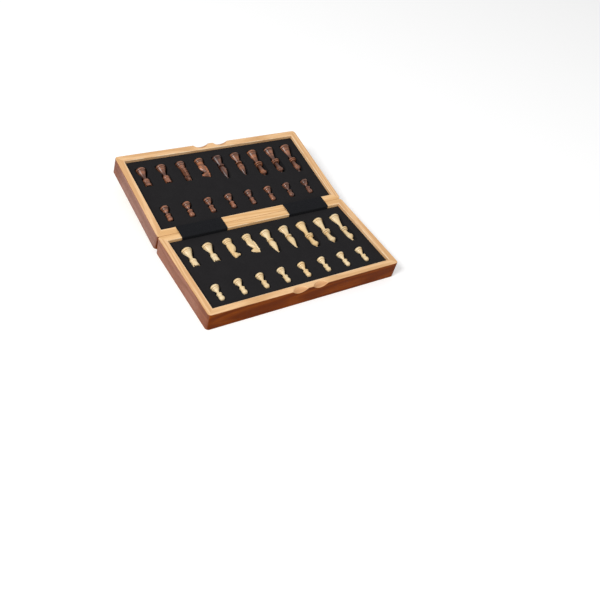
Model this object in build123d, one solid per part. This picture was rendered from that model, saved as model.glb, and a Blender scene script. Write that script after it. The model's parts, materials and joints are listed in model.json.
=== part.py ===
from build123d import *
from math import sqrt
import os

# Folding chess box, open with the lid a little short of flat. Two trays, the base and the lid, are
# joined by two butt hinges. Each tray holds a foam insert with one side's pieces lying in pockets.
# Millimetres. X runs along the hinge, +Y from the base to the lid, +Z up.
# Origin: centre of the base's underside.

# --- The two trays ---
BOARD_SIDE = 290.0        # side of the square board that the open box makes
TRAY_HEIGHT = 25.5        # one tray, from playing surface to rim
RAIL_WIDTH = 10.0
VENEER_THICKNESS = 0.6    # printed playing surface
PANEL_THICKNESS = 3.4     # plywood behind it
CORNER_RADIUS = 4.5       # upright outer corners
RIM_ROUNDING = 0.6
VENEER_ROUNDING = 0.5
LID_RAISED = 9.0          # degrees that the lid stands short of flat
CLOSING_GAP = 0.3         # between the rims of the closed box, and the backs of the flat one

# --- Finger scoops in both front rims ---
SCOOP_SPACING = 31.0
SCOOP_WIDTH = 24.0
SCOOP_DEPTH = 7.5         # across the rim
SCOOP_DROP = 5.5          # down the front

# --- Butt hinges under cloth covers ---
HINGE_INSET = 63.0        # from a tray's end to the middle of its hinge
HINGE_LENGTH = 60.0
KNUCKLE_COUNT = 5         # the base leaf has the odd ones
KNUCKLE_GAP = 0.2
BARREL_RADIUS = 1.3
PIN_RADIUS = 0.6
PIN_CLEARANCE = 0.05
LEAF_THICKNESS = 0.7
LEAF_WIDTH = 8.5          # from the tray's back face
LEAF_CLEARANCE = 0.1      # leaf in its mortise
SWING_CLEARANCE = 0.3     # around whatever turns with the other tray
SCREW_SPACING = 22.0
SCREW_COUNT = 3           # on each leaf
SCREW_LENGTH = 7.0
SCREW_RADIUS = 0.9
SCREW_HEAD_RADIUS = 1.6
SCREW_POINT = 1.5
SCREW_CLEARANCE = 0.05
COVER_LENGTH = 66.0
COVER_THICKNESS = 0.6

# --- Foam inserts and how the pieces lie in them ---
FOAM_DROP = 4.5           # rim to foam
FOAM_CLEARANCE = 0.2      # to the rails
HEADROOM = 0.9            # a lying piece's highest point to the rim
POCKET_CLEARANCE = 1.0    # around a piece
SEAT_GAP = 0.3            # under a piece
POCKET_ROUNDING = 0.9
KNIGHT_POCKET_ROUNDING = 0.4
OFFICER_MARGINS = (18.2, 19.2)  # left and right side rail to the axis of the end piece
PAWN_MARGINS = (21.7, 25.8)
BASE_OFFICER_WALL = 17.0  # rail behind the officers' feet to their feet
BASE_PAWN_WALL = 12.4     # rail in front of the pawns to their heads
LID_OFFICER_WALL = 14.0
LID_PAWN_WALL = 14.6

# --- Turned pieces: distances run from the foot ---
FOOT_HEIGHT = 3.2
FOOT_BULGE = 0.5
STEP_INSET = 1.0          # ring above the foot, from the foot's edge
STEP_HEIGHT = 2.1
STEP_BEVEL = 0.5          # on the upper part of the ring
STEP_UPRIGHT = 0.6        # height of the ring's upright part
COVE_SAG = 0.4            # how hollow the stems are

ROOK_LENGTH = 31.5
ROOK_FOOT_RADIUS = 7.4
ROOK_NECK_AT = 15.2
ROOK_NECK_RADIUS = 2.7
ROOK_COLLAR_AT = 19.0     # broad ring under the crown
ROOK_COLLAR_WIDTH = 4.0
ROOK_COLLAR_RADIUS = 5.0
ROOK_COLLAR_BULGE = 0.5
CROWN_HEIGHT = 8.0
CROWN_RADIUS = 4.8
CROWN_FLARE = 0.3         # narrower at the crown's lower edge
CROWN_LEDGE = 0.5         # from the flare to the ring's edge
CROWN_WALL = 1.6
CROWN_BORE_DEPTH = 2.2
CROWN_SLOTS = 4
CROWN_SLOT_WIDTH = 1.5
CROWN_SLOT_DEPTH = 1.8

BISHOP_LENGTH = 41.5
BISHOP_FOOT_RADIUS = 7.7
BISHOP_NECK_AT = 15.5
BISHOP_NECK_RADIUS = 2.7
BISHOP_COLLAR_RADIUS = 5.3
BISHOP_BELLY_AT = 24.0
MITRE_RADIUS = 5.3
MITRE_LOWER_SAG = 0.35
MITRE_UPPER_SAG = 0.5
MITRE_TIP_RADIUS = 1.1
BISHOP_BALL_RADIUS = 1.8

QUEEN_LENGTH = 48.1
QUEEN_FOOT_RADIUS = 8.0
QUEEN_NECK_AT = 20.0
QUEEN_NECK_RADIUS = 3.1
QUEEN_COLLAR_RADIUS = 6.9
QUEEN_HEAD_RADIUS = 5.2
QUEEN_CROWN_AT = 41.0
QUEEN_BALL_RADIUS = 1.6

KING_LENGTH = 52.6
KING_FOOT_RADIUS = 8.4
KING_NECK_AT = 22.5
KING_NECK_RADIUS = 2.6
KING_COLLAR_RADIUS = 6.4
KING_HEAD_RADIUS = 5.7
KING_CROWN_AT = 42.5
KING_BALL_RADIUS = 2.2

NECK_FLARE = 3.5          # length of the flare from queens' and kings' necks to their collars
FLARE_STEP = 1.2          # how much narrower the flare ends than the collar
SECOND_COLLAR_STEP = 1.0  # how much narrower queens' and kings' second collar is
HEAD_SAG = 0.8            # hollow of the heads and of the flares under the collars
DOME_SAG = 0.5            # swell of the domes above the heads
BALL_STEM = 0.55          # radius of the stem under their balls, of the ball's

PAWN_LENGTH = 24.3
PAWN_FOOT_RADIUS = 5.7
PAWN_NECK_AT = 11.3
PAWN_NECK_RADIUS = 1.7
PAWN_COLLAR_RADIUS = 3.9
PAWN_HEAD_RADIUS = 3.8

COLLAR_WIDTH = 1.7        # beads under the heads
GROOVE_RADIUS = 3.0       # behind the beads
GROOVE_WIDTH = 0.6

KNIGHT_LENGTH = 33.8
KNIGHT_FOOT_RADIUS = 6.9
KNIGHT_BEAD_RADIUS = 5.2  # second ring
KNIGHT_BEAD_BULGE = 0.5
KNIGHT_NECK_AT = 7.6      # where that ring ends
KNIGHT_NECK_RADIUS = 4.6
KNIGHT_HEAD_AT = 9.0
KNIGHT_THICKNESS = 8.2    # of the head at the foot
KNIGHT_BROW_THICKNESS = 5.6
KNIGHT_SINK = 0.4         # of the head into the neck
# Horse's head facing +X: (distance from the axis, share of the way from neck to ears)
CHEST = [(4.5, 0.0), (5.8, 0.2)]
THROAT = (0.4, 0.58)
JAW = (3.0, 0.66)
LIP = (5.7, 0.69)
NOSE = (6.7, 0.76)
NOSTRIL = (5.5, 0.83)
BROW = (0.6, 0.935)
EARS = (-3.9, 1.0)
MANE = [(-5.3, 0.75), (-5.9, 0.4), (-4.6, 0.0)]
# Its pocket, before the clearance
POCKET_FRONT = [(6.1, 0.3), (2.4, 0.58), (4.2, 0.63), (6.8, 0.66), (6.8, 0.84), (1.4, 0.97)]
POCKET_BACK = [(-4.4, 1.01), (-5.8, 0.75), (-5.9, 0.1)]

# --- Worked-out places ---
TRAY_DEPTH = BOARD_SIDE / 2
FLOOR = VENEER_THICKNESS + PANEL_THICKNESS
FOAM_TOP = TRAY_HEIGHT - FOAM_DROP
CAVITY_LENGTH = BOARD_SIDE - 2 * RAIL_WIDTH
CAVITY_DEPTH = TRAY_DEPTH - 2 * RAIL_WIDTH
BACK_FACE = TRAY_DEPTH / 2
HINGE_Y = BACK_FACE + CLOSING_GAP / 2
HINGE_Z = TRAY_HEIGHT + CLOSING_GAP / 2
HINGE_X = BOARD_SIDE / 2 - HINGE_INSET
LID_MIDDLE = 2 * HINGE_Y  # centre of the lid's underside when flat
COVER_FLOOR = TRAY_HEIGHT - COVER_THICKNESS
LEAF_FLOOR = COVER_FLOOR - LEAF_THICKNESS
BARREL_ROOM = BARREL_RADIUS + SWING_CLEARANCE
STEP_AT = FOOT_HEIGHT + STEP_HEIGHT
HEAD_START = KNIGHT_HEAD_AT - KNIGHT_SINK
OFFICERS = [f"{kind}_{n}" for kind in ("rook", "knight", "bishop", "queen") for n in (1, 2)] + ["king"]
PAWNS = [f"pawn_{n + 1}" for n in range(8)]
BASE_KNUCKLES = 0         # first of the base leaf's knuckles, every second of which is its own
LID_KNUCKLES = KNUCKLE_COUNT % 2  # the same on a lid leaf before it is turned end for end

raise_lid = Pos(0, HINGE_Y, HINGE_Z) * Rot(LID_RAISED, 0, 0) * Pos(0, -HINGE_Y, -HINGE_Z)


def block(x, y, z):
    """A box from three (low, high) pairs."""
    size = [high - low for low, high in (x, y, z)]
    middle = [(high + low) / 2 for low, high in (x, y, z)]
    return Pos(*middle) * Box(*size)


def rod(radius, x_from, x_to):
    """A round bar along the hinge axis."""
    bar = Cylinder(radius, x_to - x_from, rotation=(0, 90, 0))
    return Pos((x_from + x_to) / 2, HINGE_Y, HINGE_Z) * bar


# --- Trays ---
def plate(thickness):
    return extrude(RectangleRounded(BOARD_SIDE, TRAY_DEPTH, CORNER_RADIUS), thickness)


def board_veneer():
    sheet = plate(VENEER_THICKNESS)
    return fillet(sheet.edges().group_by(Axis.Z)[0], VENEER_ROUNDING)


def board_panel():
    return Pos(0, 0, VENEER_THICKNESS) * plate(PANEL_THICKNESS)


def rail_ring():
    """The four rails of a tray as one ring, before the mitres part them."""
    cavity = Box(CAVITY_LENGTH, CAVITY_DEPTH, 4 * TRAY_HEIGHT)
    ring = Pos(0, 0, FLOOR) * plate(TRAY_HEIGHT - FLOOR) - cavity
    return fillet(ring.edges().group_by(Axis.Z)[-1], RIM_ROUNDING)


def mitred(ring, side):
    """One rail of the ring: front, hinge, left or right."""
    x, y = BOARD_SIDE / 2, TRAY_DEPTH / 2
    inner_x, inner_y = x - RAIL_WIDTH, y - RAIL_WIDTH
    if side in ("front", "hinge"):
        corners = [(-x, -y), (x, -y), (inner_x, -inner_y), (-inner_x, -inner_y)]
        turn = 180 if side == "hinge" else 0
    else:
        corners = [(x, -y), (x, y), (inner_x, inner_y), (inner_x, -inner_y)]
        turn = 180 if side == "left" else 0
    wedge = extrude(make_face(Polyline(*corners, close=True)), TRAY_HEIGHT)
    return ring & Rot(0, 0, turn) * wedge


def front_rail(ring):
    rail = mitred(ring, "front")
    half = SCOOP_WIDTH / 2
    outside = (half**2 - SCOOP_DEPTH**2) / (2 * SCOOP_DEPTH)
    above = (half**2 - SCOOP_DROP**2) / (2 * SCOOP_DROP)
    cutter = Sphere(sqrt(half**2 + outside**2 + above**2))
    for x in (-SCOOP_SPACING / 2, SCOOP_SPACING / 2):
        rail -= Pos(x, -TRAY_DEPTH / 2 - outside, TRAY_HEIGHT + above) * cutter
    return rail


def hinge_rail(ring):
    """The back rail, let in for two hinge leaves, their barrels, screws and cloth covers."""
    rail = mitred(ring, "hinge")
    over = TRAY_HEIGHT + RAIL_WIDTH
    behind = BACK_FACE + RAIL_WIDTH
    for x in (-HINGE_X, HINGE_X):
        half = COVER_LENGTH / 2
        rail -= block((x - half, x + half), (BACK_FACE - 2 * RAIL_WIDTH, behind), (COVER_FLOOR, over))
        half = HINGE_LENGTH / 2 + LEAF_CLEARANCE
        front = BACK_FACE - LEAF_WIDTH - LEAF_CLEARANCE
        rail -= block((x - half, x + half), (front, behind), (LEAF_FLOOR, over))
        rail -= rod(BARREL_ROOM, x - half, x + half)
        for spot in screw_spots(x):
            rail -= spot * screw_hole(SCREW_CLEARANCE)
    return rail


# --- Hinges ---
def screw_spots(x):
    """Where the screws of the leaf at x stand, with +Z out of the leaf."""
    first = x - SCREW_SPACING * (SCREW_COUNT - 1) / 2
    y = BACK_FACE - (LEAF_WIDTH + BARREL_ROOM) / 2
    return [Pos(first + n * SCREW_SPACING, y, COVER_FLOOR) for n in range(SCREW_COUNT)]


def screw_hole(clearance):
    """A countersunk screw, or the hole for it when there is clearance. Its head's face is at z = 0."""
    shank = SCREW_RADIUS + clearance
    head = SCREW_HEAD_RADIUS + clearance
    depth = SCREW_LENGTH + clearance
    outline = Polyline(
        (0, 0), (head, 0), (shank, -LEAF_THICKNESS), (shank, SCREW_POINT - depth), (0, -depth), close=True
    )
    return revolve(make_face(Plane.XZ * outline), Axis.Z)


def knuckle_span(x, number):
    """Where a knuckle of the hinge at x starts and ends."""
    pitch = (HINGE_LENGTH + KNUCKLE_GAP) / KNUCKLE_COUNT
    start = x - HINGE_LENGTH / 2 + number * pitch
    return start, start + pitch - KNUCKLE_GAP


def hinge_leaf(x, first):
    """A leaf as the base's lies, with every second knuckle from the first one."""
    ends = (x - HINGE_LENGTH / 2, x + HINGE_LENGTH / 2)
    leaf = block(ends, (BACK_FACE - LEAF_WIDTH, HINGE_Y), (LEAF_FLOOR, COVER_FLOOR))
    for number in range(KNUCKLE_COUNT):
        start, end = knuckle_span(x, number)
        if number % 2 == first:
            leaf += rod(BARREL_RADIUS, start, end)
        else:
            leaf -= rod(BARREL_ROOM, start - KNUCKLE_GAP, end + KNUCKLE_GAP)
    leaf -= rod(PIN_RADIUS + PIN_CLEARANCE, *ends)
    for spot in screw_spots(x):
        leaf -= spot * screw_hole(SCREW_CLEARANCE)
    return leaf


def hinge_screws():
    return Compound([spot * screw_hole(0) for x in (-HINGE_X, HINGE_X) for spot in screw_spots(x)])


def hinge_pin(x):
    pin = rod(PIN_RADIUS, x - HINGE_LENGTH / 2, x + HINGE_LENGTH / 2)
    return chamfer(pin.edges(), PIN_RADIUS / 4)


def hinge_cover(x):
    """Cloth from just short of the barrel, over the leaf and down to the foam."""
    ends = (x - COVER_LENGTH / 2, x + COVER_LENGTH / 2)
    inner_face = BACK_FACE - RAIL_WIDTH
    near = inner_face - COVER_THICKNESS
    top = block(ends, (near, HINGE_Y - BARREL_ROOM - SWING_CLEARANCE), (COVER_FLOOR, TRAY_HEIGHT))
    flap = block(ends, (near, inner_face), (FOAM_TOP, TRAY_HEIGHT))
    cover = top + flap
    edge = cover.edges().filter_by(Axis.X).group_by(Axis.Z)[-1].sort_by(Axis.Y)[0]
    return fillet(edge, COVER_THICKNESS)


# --- Chess pieces: each lies along Y, foot at the origin and head towards -Y ---
def ball_meets(stem, radius, tip):
    """How far from the foot a stem of that radius runs into a ball that ends at tip."""
    return tip - radius - sqrt(radius**2 - stem**2)


class Turning:
    """The outline of a turned piece, drawn from the middle of its foot to its tip."""

    def __init__(self):
        self.radius, self.along, self.edges = 0.0, 0.0, []

    def _to(self, along, radius, sag=0.0):
        start, end = (self.radius, -self.along), (radius, -along)
        self.edges.append(SagittaArc(start, end, sag) if sag else Line(start, end))
        self.along, self.radius = along, radius
        return self

    def step(self, radius):
        return self._to(self.along, radius)

    def run(self, length):
        return self._to(self.along + length, self.radius)

    def cone(self, along, radius):
        return self._to(along, radius)

    def cove(self, along, radius, sag=COVE_SAG):
        return self._to(along, radius, -sag)

    def swell(self, along, radius, sag):
        return self._to(along, radius, sag)

    def collar(self, radius):
        """A half-round bead that stands out to radius, and the groove after it."""
        bulge = COLLAR_WIDTH / 3
        self.step(radius - bulge).swell(self.along + COLLAR_WIDTH, radius - bulge, bulge)
        return self.step(GROOVE_RADIUS).run(GROOVE_WIDTH)

    def ball(self, radius, tip):
        """A ball of that radius from the stem, which ends where ball_meets says, to the tip."""
        start, over = (self.radius, -self.along), (radius, radius - tip)
        self.edges.append(ThreePointArc(start, over, (0, -tip)))
        self.along, self.radius = tip, 0.0
        return self

    def solid(self):
        if self.radius:
            self.step(0)
        outline = Curve() + [*self.edges, Line((0, -self.along), (0, 0))]
        return revolve(make_face(outline), Axis.Y)


def foot(radius):
    """Every piece starts with a rounded foot and a ring above it."""
    flat = radius - FOOT_BULGE
    ring = radius - STEP_INSET
    piece = Turning().step(flat).swell(FOOT_HEIGHT, flat, FOOT_BULGE)
    return piece.step(ring).run(STEP_UPRIGHT).cone(STEP_AT, ring - STEP_BEVEL)


def rook():
    crown = ROOK_LENGTH - CROWN_HEIGHT
    edge = CROWN_RADIUS - CROWN_FLARE
    collar = ROOK_COLLAR_RADIUS - ROOK_COLLAR_BULGE
    piece = foot(ROOK_FOOT_RADIUS).cove(ROOK_NECK_AT, ROOK_NECK_RADIUS)
    piece.cove(ROOK_COLLAR_AT, edge - CROWN_LEDGE)
    piece.step(collar).swell(ROOK_COLLAR_AT + ROOK_COLLAR_WIDTH, collar, ROOK_COLLAR_BULGE)
    body = piece.step(edge - CROWN_LEDGE).run(crown - piece.along)
    body = body.step(edge).cone(ROOK_LENGTH, CROWN_RADIUS).solid()
    bore = Cylinder(CROWN_RADIUS - CROWN_WALL, CROWN_BORE_DEPTH, rotation=(90, 0, 0))
    body -= Pos(0, CROWN_BORE_DEPTH / 2 - ROOK_LENGTH, 0) * bore
    slot = Box(4 * CROWN_RADIUS, CROWN_SLOT_DEPTH, CROWN_SLOT_WIDTH)
    pitch = 360 / CROWN_SLOTS
    for n in range(CROWN_SLOTS // 2):
        body -= Pos(0, CROWN_SLOT_DEPTH / 2 - ROOK_LENGTH, 0) * Rot(0, (n + 0.5) * pitch, 0) * slot
    return body


def bishop():
    piece = foot(BISHOP_FOOT_RADIUS).cone(BISHOP_NECK_AT, BISHOP_NECK_RADIUS).collar(BISHOP_COLLAR_RADIUS)
    piece.swell(BISHOP_BELLY_AT, MITRE_RADIUS, MITRE_LOWER_SAG)
    tip = ball_meets(MITRE_TIP_RADIUS, BISHOP_BALL_RADIUS, BISHOP_LENGTH)
    piece.swell(tip, MITRE_TIP_RADIUS, MITRE_UPPER_SAG)
    return piece.ball(BISHOP_BALL_RADIUS, BISHOP_LENGTH).solid()


def crowned(length, foot_radius, neck_at, neck, collar, head, crown_at, ball):
    """Queen and king: a long stem, two collars, a flared head, and a ball on a low dome."""
    piece = foot(foot_radius).cove(neck_at, neck)
    piece.cove(neck_at + NECK_FLARE, collar - FLARE_STEP, HEAD_SAG)
    piece.collar(collar).collar(collar - SECOND_COLLAR_STEP)
    piece.cove(crown_at, head, HEAD_SAG).run(GROOVE_WIDTH)
    stem = BALL_STEM * ball
    return piece.swell(ball_meets(stem, ball, length), stem, DOME_SAG).ball(ball, length).solid()


def pawn():
    piece = foot(PAWN_FOOT_RADIUS).cove(PAWN_NECK_AT, PAWN_NECK_RADIUS)
    piece.run(COLLAR_WIDTH).collar(PAWN_COLLAR_RADIUS)
    piece.cone(ball_meets(GROOVE_RADIUS, PAWN_HEAD_RADIUS, PAWN_LENGTH), GROOVE_RADIUS)
    return piece.ball(PAWN_HEAD_RADIUS, PAWN_LENGTH).solid()


def knight_at(reach, share):
    """A point of the horse's head: reach from the axis, and share of the way from bead to ears."""
    return reach, -(HEAD_START + share * (KNIGHT_LENGTH - HEAD_START))


def knight_outline():
    """Side view of the horse's head, facing +X."""
    front, breast = [knight_at(*point) for point in CHEST]
    throat, jaw, lip = [knight_at(*point) for point in (THROAT, JAW, LIP)]
    nose, nostril, brow, ears = [knight_at(*point) for point in (NOSE, NOSTRIL, BROW, EARS)]
    nape, neck, back = [knight_at(*point) for point in MANE]
    chest = Spline(front, breast, throat)
    muzzle = ThreePointArc(lip, nose, nostril)
    mane = Spline(ears, nape, neck, back)
    straight = [Line(throat, jaw), Line(jaw, lip), Line(nostril, brow), Line(brow, ears), Line(back, front)]
    return make_face(Curve() + [chest, muzzle, mane, *straight])


def knight_front():
    """The head seen from the front: it narrows from the neck to the brow."""
    neck, brow = KNIGHT_THICKNESS / 2, KNIGHT_BROW_THICKNESS / 2
    low, high = -FOOT_HEIGHT, -KNIGHT_LENGTH
    outline = Polyline((-neck, low), (neck, low), (brow, high), (-brow, high), close=True)
    return Rot(0, 90, 0) * make_face(outline)


def knight():
    reach = 2 * KNIGHT_FOOT_RADIUS
    head = extrude(knight_outline(), reach, both=True) & extrude(knight_front(), reach, both=True)
    bead = KNIGHT_BEAD_RADIUS - KNIGHT_BEAD_BULGE
    piece = foot(KNIGHT_FOOT_RADIUS).step(bead).swell(KNIGHT_NECK_AT, bead, KNIGHT_BEAD_BULGE)
    return piece.step(KNIGHT_NECK_RADIUS).run(KNIGHT_HEAD_AT - KNIGHT_NECK_AT).solid() + head


# --- Pockets: the same sizes as the pieces, with clearance ---
def pocket_face(foot_radius, points):
    """A face round the foot and then (distance from the foot, half width) pairs, alike on both sides."""
    gap = POCKET_CLEARANCE
    ring = (STEP_AT + gap, foot_radius)
    one_side = [(radius + gap, -along) for along, radius in [(-gap, foot_radius), ring, *points]]
    other_side = [(-x, y) for x, y in reversed(one_side)]
    return make_face(FilletPolyline(*one_side, *other_side, radius=POCKET_ROUNDING, close=True))


def rook_pocket():
    end = ROOK_LENGTH + POCKET_CLEARANCE
    collar = (ROOK_COLLAR_AT - POCKET_CLEARANCE, ROOK_COLLAR_RADIUS)
    points = [(ROOK_NECK_AT, ROOK_NECK_RADIUS), collar, (end, ROOK_COLLAR_RADIUS)]
    return pocket_face(ROOK_FOOT_RADIUS, points)


def bishop_pocket():
    tip = BISHOP_LENGTH + POCKET_CLEARANCE
    points = [
        (BISHOP_NECK_AT - 2 * COLLAR_WIDTH, BISHOP_NECK_RADIUS + POCKET_CLEARANCE),
        (BISHOP_NECK_AT - POCKET_CLEARANCE, BISHOP_COLLAR_RADIUS),
        (BISHOP_BELLY_AT, MITRE_RADIUS + POCKET_CLEARANCE / 2),
        ((BISHOP_BELLY_AT + tip) / 2, MITRE_RADIUS * 0.9),
        (tip, BISHOP_BALL_RADIUS),
    ]
    return pocket_face(BISHOP_FOOT_RADIUS, points)


def crowned_pocket(length, foot_radius, neck_at, neck, collar, head, crown_at, ball):
    points = [
        (neck_at - COLLAR_WIDTH, neck + POCKET_CLEARANCE),
        (neck_at + NECK_FLARE - POCKET_CLEARANCE, collar),
        (crown_at + 2 * GROOVE_WIDTH, max(head, collar)),
        (length + POCKET_CLEARANCE, ball + POCKET_CLEARANCE),
    ]
    return pocket_face(foot_radius, points)


def pawn_pocket():
    collar_at = PAWN_NECK_AT + COLLAR_WIDTH - POCKET_CLEARANCE
    points = [
        (PAWN_NECK_AT - POCKET_CLEARANCE, PAWN_NECK_RADIUS),
        (collar_at, PAWN_COLLAR_RADIUS),
        (PAWN_LENGTH - PAWN_HEAD_RADIUS, PAWN_HEAD_RADIUS),
        (PAWN_LENGTH + POCKET_CLEARANCE, PAWN_HEAD_RADIUS * 0.8),
    ]
    return pocket_face(PAWN_FOOT_RADIUS, points)


def knight_pocket():
    """For a knight on its side, facing +X."""
    gap = POCKET_CLEARANCE
    ring = [
        (KNIGHT_FOOT_RADIUS + gap, gap),
        (KNIGHT_FOOT_RADIUS + gap, -STEP_AT - gap),
        (KNIGHT_BEAD_RADIUS + gap, -STEP_AT - 2 * gap),
        (KNIGHT_BEAD_RADIUS + gap, -KNIGHT_HEAD_AT),
    ]
    front = [knight_at(x + gap, share) for x, share in POCKET_FRONT]
    back = [knight_at(x - gap, share) for x, share in POCKET_BACK]
    outline = [(x, y + gap * y / KNIGHT_LENGTH) for x, y in front + back]
    other_side = [(-x, y) for x, y in reversed(ring)]
    outline = FilletPolyline(*ring, *outline, *other_side, radius=KNIGHT_POCKET_ROUNDING, close=True)
    return make_face(outline)


def knight_back_pocket():
    """For a knight on its nose."""
    half = KNIGHT_THICKNESS / 2
    bead = (KNIGHT_HEAD_AT, KNIGHT_BEAD_RADIUS)
    neck = (KNIGHT_HEAD_AT + 2 * POCKET_CLEARANCE, half)
    end = (KNIGHT_LENGTH + POCKET_CLEARANCE, half)
    return pocket_face(KNIGHT_FOOT_RADIUS, [bead, neck, end])


QUEEN = (
    QUEEN_LENGTH,
    QUEEN_FOOT_RADIUS,
    QUEEN_NECK_AT,
    QUEEN_NECK_RADIUS,
    QUEEN_COLLAR_RADIUS,
    QUEEN_HEAD_RADIUS,
    QUEEN_CROWN_AT,
    QUEEN_BALL_RADIUS,
)
KING = (
    KING_LENGTH,
    KING_FOOT_RADIUS,
    KING_NECK_AT,
    KING_NECK_RADIUS,
    KING_COLLAR_RADIUS,
    KING_HEAD_RADIUS,
    KING_CROWN_AT,
    KING_BALL_RADIUS,
)
SOLIDS = {
    "rook": rook(),
    "knight": knight(),
    "bishop": bishop(),
    "queen": crowned(*QUEEN),
    "king": crowned(*KING),
    "pawn": pawn(),
}
FOOT_RADII = {
    "rook": ROOK_FOOT_RADIUS,
    "knight": KNIGHT_FOOT_RADIUS,
    "bishop": BISHOP_FOOT_RADIUS,
    "queen": QUEEN_FOOT_RADIUS,
    "king": KING_FOOT_RADIUS,
    "pawn": PAWN_FOOT_RADIUS,
}
POCKETS = {
    "rook": rook_pocket(),
    "knight": knight_pocket(),
    "bishop": bishop_pocket(),
    "queen": crowned_pocket(*QUEEN),
    "king": crowned_pocket(*KING),
    "pawn": pawn_pocket(),
}
UPRIGHT = Rot(0, 0, 0)
FACING_LEFT = Rot(0, 180, 0)
NOSE_DOWN = Rot(0, 90, 0)
TURNS = {"light_knight_2": FACING_LEFT, "dark_knight_1": NOSE_DOWN, "dark_knight_2": FACING_LEFT}


def kind_of(piece):
    """The kind of a piece from its node's name, such as light_rook_1."""
    return piece.split("_")[1]


def axis_height(piece):
    """A lying piece's axis above the tray's underside: its foot is HEADROOM below the rim."""
    return TRAY_HEIGHT - HEADROOM - FOOT_RADII[kind_of(piece)]


def spread(names, margins):
    """Each name with its place along the tray."""
    pitch = (CAVITY_LENGTH - sum(margins)) / (len(names) - 1)
    return [(name, -CAVITY_LENGTH / 2 + margins[0] + n * pitch) for n, name in enumerate(names)]


def lying_pieces(side, officer_wall, pawn_wall):
    """(node, x, y) of the feet of one side's pieces, all heads towards -Y, from the tray's middle."""
    officers = CAVITY_DEPTH / 2 - officer_wall
    pawns = -CAVITY_DEPTH / 2 + pawn_wall + PAWN_LENGTH
    row = [(f"{side}_{name}", x, officers) for name, x in spread(OFFICERS, OFFICER_MARGINS)]
    return row + [(f"{side}_{name}", x, pawns) for name, x in spread(PAWNS, PAWN_MARGINS)]


def pocket(piece, x, y):
    """What a piece's pocket takes out of the foam, up to the rim."""
    floor = axis_height(piece) - FOOT_RADII[kind_of(piece)] - SEAT_GAP
    half = (TRAY_HEIGHT - floor) / 2
    turn = TURNS.get(piece, UPRIGHT)
    if turn is NOSE_DOWN:
        room = extrude(knight_back_pocket(), half, both=True)
    else:
        room = turn * extrude(POCKETS[kind_of(piece)], half, both=True)
    return Pos(x, y, floor + half) * room


def foam_insert(places):
    clear = 2 * FOAM_CLEARANCE
    foam = extrude(Rectangle(CAVITY_LENGTH - clear, CAVITY_DEPTH - clear), FOAM_TOP - FLOOR)
    foam = Pos(0, 0, FLOOR) * foam
    for piece, x, y in places:
        foam -= pocket(piece, x, y)
    return foam


def tray(first_knuckle):
    """All but the foam of one tray, as the base lies, with its half of the hinges."""
    ring = rail_ring()
    return {
        "board_veneer": board_veneer(),
        "board_panel": board_panel(),
        "front_rail": front_rail(ring),
        "hinge_rail": hinge_rail(ring),
        "left_rail": mitred(ring, "left"),
        "right_rail": mitred(ring, "right"),
        "left_hinge_leaf": hinge_leaf(-HINGE_X, first_knuckle),
        "right_hinge_leaf": hinge_leaf(HINGE_X, first_knuckle),
        "hinge_screws": hinge_screws(),
        "left_hinge_cover": hinge_cover(-HINGE_X),
        "right_hinge_cover": hinge_cover(HINGE_X),
    }


# --- Assembly ---
turn_to_lid = raise_lid * Pos(0, LID_MIDDLE, 0) * Rot(0, 0, 180)
swapped = {"left": "right", "right": "left"}
nodes = {"left_hinge_pin": hinge_pin(-HINGE_X), "right_hinge_pin": hinge_pin(HINGE_X)}
for name, part in tray(BASE_KNUCKLES).items():
    nodes[f"base_{name}"] = part
for name, part in tray(LID_KNUCKLES).items():
    start, end = name.split("_", 1)
    nodes[f"lid_{swapped.get(start, start)}_{end}"] = turn_to_lid * part

light = lying_pieces("light", BASE_OFFICER_WALL, BASE_PAWN_WALL)
dark = lying_pieces("dark", LID_OFFICER_WALL, LID_PAWN_WALL)
for name, places, move in (("base", light, Pos(0, 0, 0)), ("lid", dark, raise_lid * Pos(0, LID_MIDDLE, 0))):
    nodes[f"{name}_foam_insert"] = move * foam_insert(places)
    for piece, x, y in places:
        turn = TURNS.get(piece, UPRIGHT)
        nodes[piece] = move * Pos(x, y, axis_height(piece)) * turn * SOLIDS[kind_of(piece)]

os.makedirs("parts", exist_ok=True)
for name, part in nodes.items():
    export_step(part, f"parts/{name}.step")
print(len(nodes), "nodes")
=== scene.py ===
# %% [markdown]
# # A folding chess box, lying open
# Two shallow wooden trays are hinged along one long side. Closed, they make a box; turned over and laid flat, their
# undersides make a chessboard. Each tray is lined with black foam, and one side's turned pieces lie in its pockets.
# The solids come first: every tray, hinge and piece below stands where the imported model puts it.

# %% Load the solids
import json
from math import cos, exp, hypot, pi, radians, sin, sqrt

import bmesh
import bpy
from mathutils import Matrix, Vector
from mathutils.kdtree import KDTree


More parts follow.
